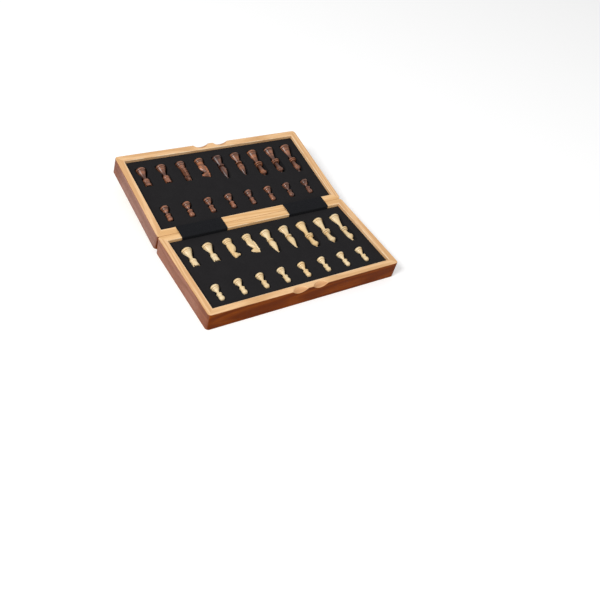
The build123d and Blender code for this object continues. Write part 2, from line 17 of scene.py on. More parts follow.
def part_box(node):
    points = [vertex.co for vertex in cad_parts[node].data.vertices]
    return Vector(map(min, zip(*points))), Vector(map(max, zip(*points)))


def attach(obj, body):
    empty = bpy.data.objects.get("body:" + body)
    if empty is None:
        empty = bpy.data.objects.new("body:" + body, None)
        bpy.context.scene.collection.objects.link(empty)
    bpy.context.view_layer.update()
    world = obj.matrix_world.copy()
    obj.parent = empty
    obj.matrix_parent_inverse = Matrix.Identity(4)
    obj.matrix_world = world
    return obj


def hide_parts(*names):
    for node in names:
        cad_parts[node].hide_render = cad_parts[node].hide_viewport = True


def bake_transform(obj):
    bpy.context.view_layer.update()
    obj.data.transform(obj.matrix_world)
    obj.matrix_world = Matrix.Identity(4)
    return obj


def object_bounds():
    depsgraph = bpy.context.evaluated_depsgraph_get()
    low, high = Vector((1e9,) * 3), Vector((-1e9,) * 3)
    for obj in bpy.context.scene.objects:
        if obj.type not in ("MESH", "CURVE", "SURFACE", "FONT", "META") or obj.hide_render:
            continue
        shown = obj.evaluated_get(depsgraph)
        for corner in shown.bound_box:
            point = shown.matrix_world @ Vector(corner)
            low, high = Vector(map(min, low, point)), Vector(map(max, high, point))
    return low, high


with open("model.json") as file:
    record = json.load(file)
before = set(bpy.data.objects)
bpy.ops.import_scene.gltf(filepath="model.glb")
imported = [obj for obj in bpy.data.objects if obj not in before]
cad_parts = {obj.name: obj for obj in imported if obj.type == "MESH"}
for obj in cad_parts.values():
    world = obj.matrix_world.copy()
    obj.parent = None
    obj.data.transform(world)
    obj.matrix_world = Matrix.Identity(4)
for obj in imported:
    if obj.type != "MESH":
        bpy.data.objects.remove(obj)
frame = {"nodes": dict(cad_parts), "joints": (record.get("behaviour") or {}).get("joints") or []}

nodes = frame["nodes"]
cad_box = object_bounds()

# %% [markdown]
# ## Where the hinge is
# Both trays are alike, so every pattern is worked out once, for a tray that lies flat with its front rail towards -Y.
# The lid is that tray turned end for end and raised about the hinge. The hinge's place comes from its joint, so
# nothing here is fitted by eye.

# %% Tray sizes and the lid's place
MM = 0.001
hinge = next(j for j in frame["joints"] if j["name"] == "lid_hinge")
HINGE = Vector(hinge["pos_m"])
RAISED = radians(hinge["range_deg"][1])
HALF_LENGTH, HALF_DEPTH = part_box("base_board_veneer")[1].xy
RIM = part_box("base_left_rail")[1].z
FOAM_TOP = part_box("base_foam_insert")[1].z
RAIL = HALF_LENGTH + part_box("base_left_rail")[1].x
to_hinge = Matrix.Translation(HINGE)
raise_lid = to_hinge @ Matrix.Rotation(RAISED, 4, "X") @ to_hinge.inverted()
turn_round = to_hinge @ Matrix.Rotation(pi, 4, "Z") @ to_hinge.inverted()
tray_place = {"base": Matrix.Identity(4), "lid": raise_lid @ turn_round}
laid_flat = {"base": Matrix.Identity(4), "lid": raise_lid.inverted()}
print("hinge at", tuple(HINGE), "rail", round(RAIL / MM, 2), "mm, lid raised", round(RAISED * 180 / pi, 1), "degrees")

# %% [markdown]
# ## Camera
# The camera looks down over the base tray's front left corner, slightly rolled, from a little under a metre away.
# It is set from its own axes: a right and an up direction, and the third follows from those two.

# %% Camera
CAMERA_AT = Vector((-0.4793, -0.55498, 0.6397))
CAMERA_RIGHT = Vector((0.82824, -0.51664, 0.21704))
CAMERA_UP = Vector((0.24088, 0.67794, 0.69453))
FRAME_PIXELS = 600
FOCAL_PIXELS = 726.73
camera_data = bpy.data.cameras.new("camera")
camera_data.sensor_fit = "HORIZONTAL"
camera_data.lens = FOCAL_PIXELS / FRAME_PIXELS * camera_data.sensor_width
camera = bpy.data.objects.new("camera", camera_data)
bpy.context.scene.collection.objects.link(camera)
axes = Matrix((CAMERA_RIGHT, CAMERA_UP, CAMERA_RIGHT.cross(CAMERA_UP))).transposed()
camera.matrix_world = Matrix.Translation(CAMERA_AT) @ axes.to_4x4()
bpy.context.scene.camera = camera
print("lens", round(camera_data.lens, 1), "mm")

# %% [markdown]
# ## Short ways to write shader nodes
# A shader node is added, its settings are set, and each input is either given a value or joined to another node's
# output. One helper does all three, and every other helper for nodes is built on it, further down where it is needed.

# %% Nodes
def add(tree, kind, values=(), **settings):
    """Adds a node. Each value is set on, or joined to, the input with that name or number."""
    made = tree.nodes.new(kind)
    for name, value in settings.items():
        setattr(made, name, value)
    for key, value in dict(values).items():
        if isinstance(value, bpy.types.NodeSocket):
            tree.links.new(value, made.inputs[key])
        else:
            made.inputs[key].default_value = value
    return made


def calc(tree, operation, *values):
    """A Math node's result."""
    return add(tree, "ShaderNodeMath", enumerate(values), operation=operation).outputs[0]


print("nodes are added by add, and numbers are worked out by calc")

# %% [markdown]
# ## Light and floor
# Even studio light: a white world for soft fill, one large lamp to the left for shape on the turned pieces, and a
# weaker one opposite. Together they light an upright white card to about its own white, so every colour below renders
# about as it is written. The floor is pale. A little glow that only the camera and reflections see takes it to white,
# so the object is lit no brighter and still drops a soft shadow on it.

# %% World
WORLD_LIGHT = 0.5

bpy.context.scene.view_settings.view_transform = "Standard"


def seen_directly(tree):
    """1 for rays from the camera, a mirror or through glass, 0 for light that falls on the object."""
    paths = add(tree, "ShaderNodeLightPath").outputs
    mirrored = calc(tree, "MAXIMUM", paths["Is Glossy Ray"], paths["Is Transmission Ray"])
    return calc(tree, "MAXIMUM", paths["Is Camera Ray"], mirrored)


world = bpy.data.worlds.new("studio")
world.use_nodes = True
bpy.context.scene.world = world
tree = world.node_tree
tree.nodes.clear()
values = {"Value": seen_directly(tree), "To Min": WORLD_LIGHT, "To Max": 1.0}
strength = add(tree, "ShaderNodeMapRange", values).outputs["Result"]
shine = add(tree, "ShaderNodeBackground", {"Color": (1.0, 1.0, 1.0, 1.0), "Strength": strength})
add(tree, "ShaderNodeOutputWorld", {0: shine.outputs[0]})
print("world light", WORLD_LIGHT)

# %% Lamps
def lamp(name, place, aim, size, power):
    data = bpy.data.lights.new(name, "AREA")
    data.shape, data.size, data.energy = "DISK", size, power
    made = bpy.data.objects.new(name, data)
    bpy.context.scene.collection.objects.link(made)
    made.location = place
    made.rotation_euler = (Vector(aim) - Vector(place)).to_track_quat("-Z", "Y").to_euler()
    return made


middle = (cad_box[0] + cad_box[1]) / 2
lamp("key", (-2.1, -0.5, 2.1), middle, 1.0, 58.0)
lamp("fill", (1.5, -1.7, 1.5), middle, 2.0, 8.0)
print("lamps aim at", tuple(round(v, 3) for v in middle))

# %% Floor
FLOOR_DROP = 0.5 * MM
FLOOR_WHITE = (0.86, 0.86, 0.86, 1.0)
FLOOR_GLOW = 0.28
FLOOR_SIDE = 8.0


def new_piece(name, shape, material, flat=(), sharp=35):
    """A finished object from a bmesh, smooth over all but its sharp edges and the faces named flat."""
    for face in shape.faces:
        face.smooth = True
    for face in flat:
        face.smooth = False
    mesh = bpy.data.meshes.new(name)
    shape.to_mesh(mesh)
    shape.free()
    mesh.set_sharp_from_angle(angle=radians(sharp))
    mesh.materials.append(material)
    made = bpy.data.objects.new(name, mesh)
    bpy.context.scene.collection.objects.link(made)
    return made


floor_material = bpy.data.materials.new("pale floor")
floor_material.use_nodes = True
tree = floor_material.node_tree
tree.nodes.clear()
matt = add(tree, "ShaderNodeBsdfDiffuse", {"Color": FLOOR_WHITE}).outputs[0]
strength = calc(tree, "MULTIPLY", seen_directly(tree), FLOOR_GLOW)
glow = add(tree, "ShaderNodeEmission", {"Color": (1.0, 1.0, 1.0, 1.0), "Strength": strength}).outputs[0]
both = add(tree, "ShaderNodeAddShader", {0: matt, 1: glow}).outputs[0]
add(tree, "ShaderNodeOutputMaterial", {0: both})
floor_shape = bmesh.new()
bmesh.ops.create_grid(floor_shape, x_segments=1, y_segments=1, size=FLOOR_SIDE / 2)
bmesh.ops.translate(floor_shape, verts=floor_shape.verts, vec=(0.0, 0.0, -FLOOR_DROP))
floor = new_piece("floor", floor_shape, floor_material)
print("floor", FLOOR_SIDE, "m square")

# %% [markdown]
# ## Wood grain
# Wood is made of growth layers and fibres that run one way. The group below draws both from noise that is stretched
# along the grain: slow noise counted into layers gives the flowing lines of a sawn board, fine noise gives fibres, and
# its darkest specks are pores. Every wooden thing here uses it with its own sizes.

# %% Noise and node groups
def fade(tree, value, low, high, start=0.0, end=1.0):
    """start where value is at low, end where it is at high, and smooth between."""
    values = {"Value": value, "From Min": low, "From Max": high, "To Min": start, "To Max": end}
    return add(tree, "ShaderNodeMapRange", values, interpolation_type="SMOOTHSTEP").outputs["Result"]


def noise(tree, place, scale=1.0, detail=2.0, roughness=0.5, distortion=0.0):
    values = {"Vector": place, "Scale": scale, "Detail": detail, "Roughness": roughness, "Distortion": distortion}
    return add(tree, "ShaderNodeTexNoise", values).outputs[0]


def stretch(tree, place, x, y, z):
    return add(tree, "ShaderNodeVectorMath", {0: place, 1: (x, y, z)}, operation="MULTIPLY").outputs[0]


def scaled(tree, place, by):
    return add(tree, "ShaderNodeVectorMath", {0: place, 3: by}, operation="SCALE").outputs[0]


def new_group(name, inputs, outputs):
    """An empty node group with named float, colour or vector sockets."""
    group = bpy.data.node_groups.new(name, "ShaderNodeTree")
    for label, kind, value in inputs:
        socket = group.interface.new_socket(label, in_out="INPUT", socket_type=f"NodeSocket{kind}")
        if value is not None:
            socket.default_value = value
    for label, kind in outputs:
        group.interface.new_socket(label, in_out="OUTPUT", socket_type=f"NodeSocket{kind}")
    return group, group.nodes.new("NodeGroupInput").outputs, group.nodes.new("NodeGroupOutput").inputs


print("noise, fade and node groups ready")

# %% Node group: wood grain
# How much slower each pattern changes along the grain than across it
LAYER_RUN, FIBRE_RUN, PORE_RUN = 0.09, 0.035, 0.05

grain, given, out = new_group(
    "wood grain",
    [
        ("Vector", "Vector", None),
        ("Layer width", "Float", 0.004),
        ("Layers", "Float", 5.0),
        ("Fibre width", "Float", 0.0006),
        ("Pore width", "Float", 0.00045),
    ],
    [("Figure", "Float"), ("Fibre", "Float"), ("Pores", "Float"), ("Height", "Float")],
)
across = calc(grain, "DIVIDE", 0.2, given["Layer width"])
slow = scaled(grain, stretch(grain, given["Vector"], LAYER_RUN, 1, 1), across)
layers = calc(grain, "MULTIPLY", noise(grain, slow, detail=1.5, distortion=0.4), given["Layers"])
wave = calc(grain, "SINE", calc(grain, "MULTIPLY", layers, 2 * pi))
soft = noise(grain, slow, scale=2.3, detail=3)
figure = calc(grain, "MULTIPLY_ADD", wave, 0.3, calc(grain, "MULTIPLY_ADD", soft, 0.8, 0.1))
thin = calc(grain, "DIVIDE", 1.0, given["Fibre width"])
fine = scaled(grain, stretch(grain, given["Vector"], FIBRE_RUN, 1, 1), thin)
fibre = noise(grain, fine, detail=5, roughness=0.7)
hair = calc(grain, "DIVIDE", 1.0, given["Pore width"])
finest = scaled(grain, stretch(grain, given["Vector"], PORE_RUN, 1, 1), hair)
pores = fade(grain, noise(grain, finest, detail=0), 0.64, 0.76)
grain.links.new(figure, out["Figure"])
grain.links.new(fibre, out["Fibre"])
grain.links.new(pores, out["Pores"])
grain.links.new(calc(grain, "MULTIPLY_ADD", pores, -1.0, fibre), out["Height"])
print("group", grain.name)

# %% [markdown]
# ## How deep a point of a tray lies
# The trays are bare inside and stained outside, and the stain stops at the rounded edge of the rim. The group below
# measures how far a point lies in from the outer faces of a rectangle with rounded corners, so that one number tells
# the two finishes apart all the way round.

# %% Node group: depth behind the outer faces
CORNER = 4.5 * MM


def split(tree, place):
    return add(tree, "ShaderNodeSeparateXYZ", {0: place}).outputs


depth_group, given, out = new_group("depth behind outer faces", [("Vector", "Vector", None)], [("Depth", "Float")])
parts = split(depth_group, given["Vector"])
over = [
    calc(depth_group, "SUBTRACT", calc(depth_group, "ABSOLUTE", parts[axis]), half - CORNER)
    for axis, half in ((0, HALF_LENGTH), (1, HALF_DEPTH))
]
past = [calc(depth_group, "MAXIMUM", value, 0.0) for value in over]
squares = [calc(depth_group, "MULTIPLY", value, value) for value in past]
outside = calc(depth_group, "SQRT", calc(depth_group, "ADD", *squares))
inside = calc(depth_group, "MINIMUM", calc(depth_group, "MAXIMUM", *over), 0.0)
depth = calc(depth_group, "SUBTRACT", CORNER, calc(depth_group, "ADD", outside, inside))
depth_group.links.new(depth, out["Depth"])
print("group", depth_group.name)

# %% [markdown]
# ## Wear along edges
# Handling rubs the finish off the edges first, and never evenly. The group below turns the distance from an edge into
# a worn band whose border wanders and which breaks off in places.

# %% Node group: edge wear
BORDER_WANDERS = 420.0    # bends of the worn band's border in a metre
PATCHES = 70.0            # breaks in the band in a metre

wear_group, given, out = new_group(
    "edge wear",
    [("Vector", "Vector", None), ("Distance", "Float", 0.0), ("Width", "Float", 0.001), ("Amount", "Float", 0.6)],
    [("Wear", "Float")],
)
bends = noise(wear_group, given["Vector"], BORDER_WANDERS, detail=3)
wander = calc(wear_group, "MULTIPLY_ADD", bends, 1.2, -0.6)
band = calc(wear_group, "ADD", calc(wear_group, "DIVIDE", given["Distance"], given["Width"]), wander)
patches = fade(wear_group, noise(wear_group, given["Vector"], PATCHES, detail=2), 0.32, 0.58)
worn = calc(wear_group, "MULTIPLY", fade(wear_group, band, 0.2, 1.0, 1.0, 0.0), patches)
wear_group.links.new(calc(wear_group, "MULTIPLY", worn, given["Amount"]), out["Wear"])
print("group", wear_group.name)

# %% [markdown]
# ## Wood of the trays
# The rails are pale wood with a thin clear finish on the rim and inside, and a red-brown stain on the outer faces. On
# the ends the stain is mixed with a paler, greyer painted sheen, which weakens towards the front. The two finger scoops
# were cut after finishing and are bare. Grain runs along each rail.

# %% Points of a tray
def on_object(tree, kind="Object"):
    """A point of the object itself, or its normal."""
    return add(tree, "ShaderNodeTexCoord").outputs[kind]


def moved_by(tree, place, matrix):
    """The point after a move and a turn."""
    values = {"Vector": place, "Location": matrix.to_translation(), "Rotation": matrix.to_euler("XYZ")}
    return add(tree, "ShaderNodeMapping", values).outputs[0]


def tray_point(tree, tray):
    """Where a point lies in a flat tray whose front rail is towards -Y."""
    return moved_by(tree, on_object(tree), tray_place[tray].inverted())


def along_grain(tree, point, turned):
    """The point with X along the grain: as it is, or turned where the grain runs along Y."""
    if not turned:
        return point
    return moved_by(tree, point, Matrix.Rotation(pi / 2, 4, "Z"))


print("patterns are drawn for a tray", round(2 * HALF_LENGTH / MM, 1), "by", round(2 * HALF_DEPTH / MM, 1), "mm")

# %% Wood colour, stain and painted sheen
STAIN = (0.255, 0.054, 0.0030, 1.0)
STAIN_DEEP = (0.145, 0.025, 0.0015, 1.0)
# End colours with a painted sheen: the stain paled and greyed as if the ends reflected white surroundings, a little
# more on the lid. The Y range below is where that painted sheen weakens towards the front
END_STAIN_AND_SHEEN = {"base": (0.350, 0.160, 0.108, 1.0), "lid": (0.350, 0.185, 0.145, 1.0)}
END_STAIN_AND_SHEEN_DEEP = {"base": (0.260, 0.108, 0.069, 1.0), "lid": (0.260, 0.128, 0.094, 1.0)}
END_SHEEN_FADES = (-HALF_DEPTH + 12 * MM, -HALF_DEPTH + 38 * MM)


def blend_colour(tree, share, first, second):
    values = {0: share, 6: first, 7: second}
    return add(tree, "ShaderNodeMix", values, data_type="RGBA", blend_type="MIX").outputs[2]


def between(tree, lines, light, deep, contrast=1.0, fibre_share=0.35, pore_share=0.25):
    """A wood colour from its grain."""
    figure = fade(tree, lines["Figure"], 0.5 - 0.4 / contrast, 0.5 + 0.4 / contrast)
    colour = blend_colour(tree, figure, light, deep)
    fibres = calc(tree, "MULTIPLY", fade(tree, lines["Fibre"], 0.35, 0.7), fibre_share)
    colour = blend_colour(tree, fibres, colour, deep)
    dark = calc(tree, "MULTIPLY", lines["Pores"], pore_share)
    return blend_colour(tree, dark, colour, tuple(0.45 * v for v in deep[:3]) + (1.0,))


def stain_and_sheen(tree, tray, point, lines):
    """The outer faces' colour: red-brown stain, with a paler, greyer painted sheen mixed in on the ends that weakens
    towards the front.
    """
    normal = split(tree, on_object(tree, "Normal"))
    at_end = fade(tree, calc(tree, "ABSOLUTE", normal["X"]), 0.45, 0.85)
    # painted sheen: on the ends the colour moves to the paler, greyer sheen colour, less of it near the front
    sheen_share = fade(tree, split(tree, point)["Y"], *END_SHEEN_FADES, 0.55, 1.0)
    long_side = between(tree, lines, STAIN, STAIN_DEEP, fibre_share=0.7, pore_share=0.6)
    end = between(tree, lines, END_STAIN_AND_SHEEN[tray], END_STAIN_AND_SHEEN_DEEP[tray], fibre_share=0.7, pore_share=0.6)
    return blend_colour(tree, calc(tree, "MULTIPLY", at_end, sheen_share), long_side, end)


# the value printed is where the painted sheen on the ends sets in
print("the end stain sets in", round((END_SHEEN_FADES[0] + HALF_DEPTH) / MM, 1), "mm behind the front")

# %% Materials
def place_group(tree, group, **values):
    """Puts a group into a tree and returns its outputs."""
    made = tree.nodes.new("ShaderNodeGroup")
    made.node_tree = group
    for key, value in values.items():
        socket = made.inputs[key.replace("_", " ")]
        if isinstance(value, bpy.types.NodeSocket):
            tree.links.new(value, socket)
        else:
            socket.default_value = value
    return made.outputs


def new_material(name, roughness, **settings):
    """A material and its Principled shader, with the plain settings on the shader's own sockets."""
    material = bpy.data.materials.new(name)
    material.use_nodes = True
    shader = material.node_tree.nodes["Principled BSDF"]
    shader.inputs["Roughness"].default_value = roughness
    for key, value in settings.items():
        shader.inputs[key.replace("_", " ")].default_value = value
    return material, material.node_tree, shader


def connect(tree, shader, colour=None, roughness=None, height=None, depth=0.0002, strength=1.0):
    """Joins what varies over the surface to the shader."""
    if colour is not None:
        tree.links.new(colour, shader.inputs["Base Color"])
    if roughness is not None:
        tree.links.new(roughness, shader.inputs["Roughness"])
    if height is not None:
        values = {"Height": height, "Distance": depth, "Strength": strength}
        tree.links.new(add(tree, "ShaderNodeBump", values).outputs[0], shader.inputs["Normal"])


def give(thing, material):
    """Makes that material the only one of an object."""
    thing.data.materials.clear()
    thing.data.materials.append(material)


print("materials use groups", grain.name, "and", wear_group.name)

# %% Rail wood
PALE = (0.92, 0.60, 0.33, 1.0)
PALE_DEEP = (0.74, 0.43, 0.205, 1.0)
HINGE_PALE = (0.94, 0.61, 0.31, 1.0)
HINGE_DEEP = (0.78, 0.46, 0.205, 1.0)
WORN = (0.96, 0.74, 0.50, 1.0)
CUT = (0.78, 0.44, 0.22, 1.0)
CUT_DEEP = (0.60, 0.31, 0.145, 1.0)
STAIN_WORN = (0.42, 0.17, 0.065, 1.0)
STAIN_EDGE = (0.4 * MM, 0.65 * MM)
SEAM_BARE = 0.9 * MM      # the stain keeps clear of the rims that meet over the hinges
SEAM_FROM = (HALF_DEPTH - 3.0 * MM, HALF_DEPTH - 1.0 * MM)
SEAM_ABOVE = (RIM - 1.6 * MM, RIM - 0.9 * MM)
SCOOP_BACK = -HALF_DEPTH + 9.9 * MM
SCOOP_BELOW = (RIM - 0.9 * MM, RIM - 0.6 * MM)
SCOOP_BEHIND = (0.6 * MM, 0.8 * MM)


def rail_wood(tray, turned, name, light, deep):
    material, tree, shader = new_material(f"{tray} {name} wood", 0.5, Specular_IOR_Level=0.03)
    point = tray_point(tree, tray)
    run = along_grain(tree, point, turned)
    lines = place_group(tree, grain, Vector=run, Layer_width=7 * MM, Layers=9.0, Fibre_width=1.1 * MM)
    depth = place_group(tree, depth_group, Vector=point)["Depth"]
    bare = between(tree, lines, light, deep, contrast=1.3, fibre_share=0.6)
    cut = between(tree, lines, CUT, CUT_DEEP, fibre_share=0.4)
    parts = split(tree, point)
    in_front = fade(tree, parts["Y"], SCOOP_BACK, SCOOP_BACK + 0.1 * MM, 1.0, 0.0)
    sunk = fade(tree, parts["Z"], *SCOOP_BELOW, 1.0, 0.0)
    scoop = calc(tree, "MULTIPLY", calc(tree, "MULTIPLY", in_front, sunk), fade(tree, depth, *SCOOP_BEHIND))
    rub = calc(tree, "MULTIPLY_ADD", noise(tree, point, 900.0), 0.3 * MM, depth)
    seam = fade(tree, parts["Y"], *SEAM_FROM, 0.0, SEAM_BARE)
    rub = calc(tree, "MULTIPLY_ADD", seam, fade(tree, parts["Z"], *SEAM_ABOVE), rub)
    face = fade(tree, rub, *STAIN_EDGE, 1.0, 0.0)
    below = calc(tree, "SUBTRACT", RIM, parts["Z"])
    inner = calc(tree, "MAXIMUM", calc(tree, "SUBTRACT", RAIL, depth), below)
    outer = calc(tree, "MAXIMUM", depth, below)
    wear = place_group(tree, wear_group, Vector=point, Distance=inner, Width=1.3 * MM, Amount=0.85)["Wear"]
    rubbed = place_group(tree, wear_group, Vector=point, Distance=outer, Width=1.0 * MM, Amount=0.6)["Wear"]
    bare = blend_colour(tree, wear, blend_colour(tree, scoop, bare, cut), WORN)
    outside = blend_colour(tree, rubbed, stain_and_sheen(tree, tray, point, lines), STAIN_WORN)
    colour = blend_colour(tree, face, bare, outside)
    gloss = calc(tree, "MULTIPLY_ADD", wear, 0.2, calc(tree, "MULTIPLY_ADD", lines["Fibre"], 0.2, 0.3))
    connect(tree, shader, colour, gloss, lines["Height"], 0.05 * MM, 0.5)
    return material


for tray in ("base", "lid"):
    give(nodes[f"{tray}_front_rail"], rail_wood(tray, False, "front rail", PALE, PALE_DEEP))
    give(nodes[f"{tray}_hinge_rail"], rail_wood(tray, False, "hinge rail", HINGE_PALE, HINGE_DEEP))
    end_wood = rail_wood(tray, True, "end rail", PALE, PALE_DEEP)
    for side in ("left", "right"):
        give(nodes[f"{tray}_{side}_rail"], end_wood)
print("rails of both trays have their wood")

# %% [markdown]
# ## Panel edges
# Under the rails lie a thin plywood panel and a veneer. Only their edges show from the side. They carry the same stain
# and painted sheen as the outer faces, so each side of the box reads as one piece of wood.

# %% Stained edges with painted sheen
def turned_by_side(tree, point):
    """Two grain directions in one material: along X on the front and back, along Y on the two ends."""
    sideways = calc(tree, "ABSOLUTE", split(tree, on_object(tree, "Normal"))["X"])
    values = {0: calc(tree, "GREATER_THAN", sideways, 0.7), 4: point, 5: along_grain(tree, point, True)}
    return add(tree, "ShaderNodeMix", values, data_type="VECTOR").outputs[1]


def edge_wood(tray):
    material, tree, shader = new_material(f"{tray} stained panel edge", 0.5, Specular_IOR_Level=0.03)
    point = tray_point(tree, tray)
    lines = place_group(tree, grain, Vector=turned_by_side(tree, point), Layer_width=7 * MM, Layers=7.0)
    connect(tree, shader, stain_and_sheen(tree, tray, point, lines), None, lines["Height"], 0.05 * MM, 0.5)
    return material


for tray in ("base", "lid"):
    give(nodes[f"{tray}_board_panel"], edge_wood(tray))
print("panel edges stained")

# %% [markdown]
# ## The board
# The undersides carry half of the board each: eight columns by four rows of 30 mm squares. They run out to the hinge
# side so that the two halves meet, and a thin and a thick line frame them on the other three sides. The print lies on
# pale veneer, so the black takes a little of the grain and is slightly glossier than the bare wood.

# %% Board print
SQUARE = 30 * MM
BOARD_OUTER = -HALF_DEPTH + 25 * MM
LINES = ((1.2 * MM, 1.7 * MM), (3.0 * MM, 4.2 * MM))
VENEER_PALE = (0.80, 0.58, 0.30, 1.0)
VENEER_DEEP = (0.60, 0.38, 0.16, 1.0)
PRINT = (0.016, 0.017, 0.021, 1.0)


def within(tree, value, low, high):
    above = calc(tree, "GREATER_THAN", value, low)
    return calc(tree, "MULTIPLY", above, calc(tree, "LESS_THAN", value, high))


def board_print(tree, parts):
    """1 where a tray's underside is printed black."""
    column = calc(tree, "FLOOR", calc(tree, "DIVIDE", calc(tree, "SUBTRACT", 4 * SQUARE, parts["X"]), SQUARE))
    row = calc(tree, "FLOOR", calc(tree, "DIVIDE", calc(tree, "SUBTRACT", parts["Y"], BOARD_OUTER), SQUARE))
    odd = calc(tree, "FLOORED_MODULO", calc(tree, "ADD", column, row), 2.0)
    side = calc(tree, "SUBTRACT", calc(tree, "ABSOLUTE", parts["X"]), 4 * SQUARE)
    outside = calc(tree, "MAXIMUM", side, calc(tree, "SUBTRACT", BOARD_OUTER, parts["Y"]))
    dark = calc(tree, "MULTIPLY", calc(tree, "LESS_THAN", outside, 0.0), calc(tree, "LESS_THAN", odd, 0.5))
    for low, high in LINES:
        dark = calc(tree, "ADD", dark, within(tree, outside, low, high))
    return calc(tree, "MULTIPLY", dark, calc(tree, "LESS_THAN", parts["Z"], 0.05 * MM))


def veneer_wood(tray):
    sheen = {"Specular_IOR_Level": 0.3, "Coat_Weight": 0.1, "Coat_Roughness": 0.3}
    material, tree, shader = new_material(f"{tray} board veneer", 0.4, **sheen)
    point = tray_point(tree, tray)
    parts = split(tree, point)
    lines = place_group(tree, grain, Vector=point, Layer_width=5 * MM, Layers=5.0, Fibre_width=0.5 * MM)
    printed = board_print(tree, parts)
    bare = between(tree, lines, VENEER_PALE, VENEER_DEEP, fibre_share=0.4)
    ink = blend_colour(tree, calc(tree, "MULTIPLY", lines["Fibre"], 0.12), PRINT, VENEER_DEEP)
    face = blend_colour(tree, printed, bare, ink)
    edge = fade(tree, parts["Z"], 0.2 * MM, 0.4 * MM)
    depth = place_group(tree, depth_group, Vector=point)["Depth"]
    away = calc(tree, "MAXIMUM", depth, parts["Z"])
    wear = place_group(tree, wear_group, Vector=point, Distance=away, Width=0.9 * MM, Amount=0.7)["Wear"]
    colour = blend_colour(tree, edge, face, stain_and_sheen(tree, tray, point, lines))
    colour = blend_colour(tree, wear, colour, STAIN_WORN)
    connect(tree, shader, colour, calc(tree, "MULTIPLY_ADD", printed, -0.1, 0.42), lines["Height"], 0.04 * MM, 0.5)
    return material


for tray in ("base", "lid"):
    give(nodes[f"{tray}_board_veneer"], veneer_wood(tray))
print("board printed on both undersides")

# %% [markdown]
# ## Coordinates round the board
# Letters run along the outer edge and numbers along both ends, one to each square. Each is a flat glyph made from text
# and laid just under the veneer. Seen from below, the reader's right is the tray's left, so glyphs are mirrored in X.

# %% Coordinates
GLYPH = 9.0 * MM
GLYPH_OUT = 13.5 * MM
GLYPH_LIFT = 0.03 * MM
CAPITAL_SHARE = 0.73
READING = {"base": ("hgfedcba", "8765"), "lid": ("abcdefgh", "1234")}

black_print = new_material("black print", 0.35, Base_Color=PRINT)[0]


def coordinates(tray):
    """One flat mesh of all the glyphs of a tray."""
    letters, numbers = READING[tray]
    spots = [(glyph, (3.5 - n) * SQUARE, BOARD_OUTER - GLYPH_OUT) for n, glyph in enumerate(letters)]
    for x in (-4 * SQUARE - GLYPH_OUT, 4 * SQUARE + GLYPH_OUT):
        spots += [(glyph, x, BOARD_OUTER + (n + 0.5) * SQUARE) for n, glyph in enumerate(numbers)]
    shape = bmesh.new()
    for glyph, x, y in spots:
        text = bpy.data.curves.new("glyph", "FONT")
        text.body, text.size, text.offset = glyph, GLYPH / CAPITAL_SHARE, 0.15 * MM
        text.align_x, text.align_y = "CENTER", "CENTER"
        text.resolution_u = 6
        flat = bpy.data.meshes.new_from_object(bpy.data.objects.new("glyph", text))
        flat.transform(tray_place[tray] @ Matrix.Translation((x, y, -GLYPH_LIFT)) @ Matrix.Scale(-1, 4, (1, 0, 0)))
        shape.from_mesh(flat)
        bpy.data.meshes.remove(flat)
        bpy.data.curves.remove(text)
    made = new_piece(f"{tray}_coordinates", shape, black_print)
    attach(made, tray)
    return made


for tray in ("base", "lid"):
    print(tray, "coordinates:", len(coordinates(tray).data.polygons), "faces")

# %% [markdown]
# ## Foam inserts
# Each tray is filled with black foam with a pocket cut for every piece. Cut foam has soft upper edges, and a bevel
# would fail on a face with so many holes. So the solid's top is taken off, each pocket's wall is turned over with a
# few rings that lean out into the foam, and the top is filled again between the last rings. The knights' pockets have
# tighter corners, so their edges are rounded less.

# %% Foam finish
FOAM_DARK = (0.0125, 0.0120, 0.0130, 1.0)
FOAM_DUSTY = (0.026, 0.0245, 0.0255, 1.0)
FOAM_CELLS = 1600.0       # in a metre
FOAM_GRIT = 2500.0

foam_black, tree, shader = new_material("black foam", 0.95, Specular_IOR_Level=0.06)
point = on_object(tree)
cells = add(tree, "ShaderNodeTexVoronoi", {"Vector": point, "Scale": FOAM_CELLS}).outputs["Distance"]
cloud = noise(tree, point, 60.0, detail=3)
tone = calc(tree, "MULTIPLY_ADD", cloud, 0.35, calc(tree, "MULTIPLY", cells, 0.5))
colour = blend_colour(tree, tone, FOAM_DARK, FOAM_DUSTY)
connect(tree, shader, colour, None, calc(tree, "ADD", cells, noise(tree, point, FOAM_GRIT)), 0.25 * MM, 0.7)
print("material", foam_black.name)

# %% Foam: lines round the pockets
def lines_round(top):
    """The edges round the top faces as closed lines of vertices, each with the foam on its left."""
    members = set(top)
    following = {}
    for face in top:
        for corner in face.loops:
            if any(other not in members for other in corner.edge.link_faces):
                following[corner.vert] = corner.link_loop_next.vert
    lines = []
    while following:
        vert, line = next(iter(following)), []
        while vert in following:
            line.append(vert)
            vert = following.pop(vert)
        lines.append(line)
    return lines


def towards_foam(line):
    """For each vertex, the step into the foam that moves both its edges by one unit, and its corner's radius."""
    steps, tightest = [], HALF_LENGTH
    for before, here, after in zip(line[-1:] + line[:-1], line, line[1:] + line[:1]):
        sides = [(here.co - before.co).to_2d(), (after.co - here.co).to_2d()]
        lefts = [Vector((-side.y, side.x, 0.0)).normalized() for side in sides]
        steps.append((lefts[0] + lefts[1]) / (1 + lefts[0].dot(lefts[1])))
        turn = sides[1].angle_signed(sides[0], 0.0)
        if turn > radians(3):
            tightest = min(tightest, (sides[0].length + sides[1].length) / 2 / turn)
    return steps, tightest


print("each pocket's edge is a closed line with the foam on its left")

# %% Foam: rounded edges
POCKET_EDGE = 0.75 * MM
TIGHT_EDGE = 0.35 * MM
TIGHT_CORNER = 0.6 * MM
EDGE_RINGS = 4


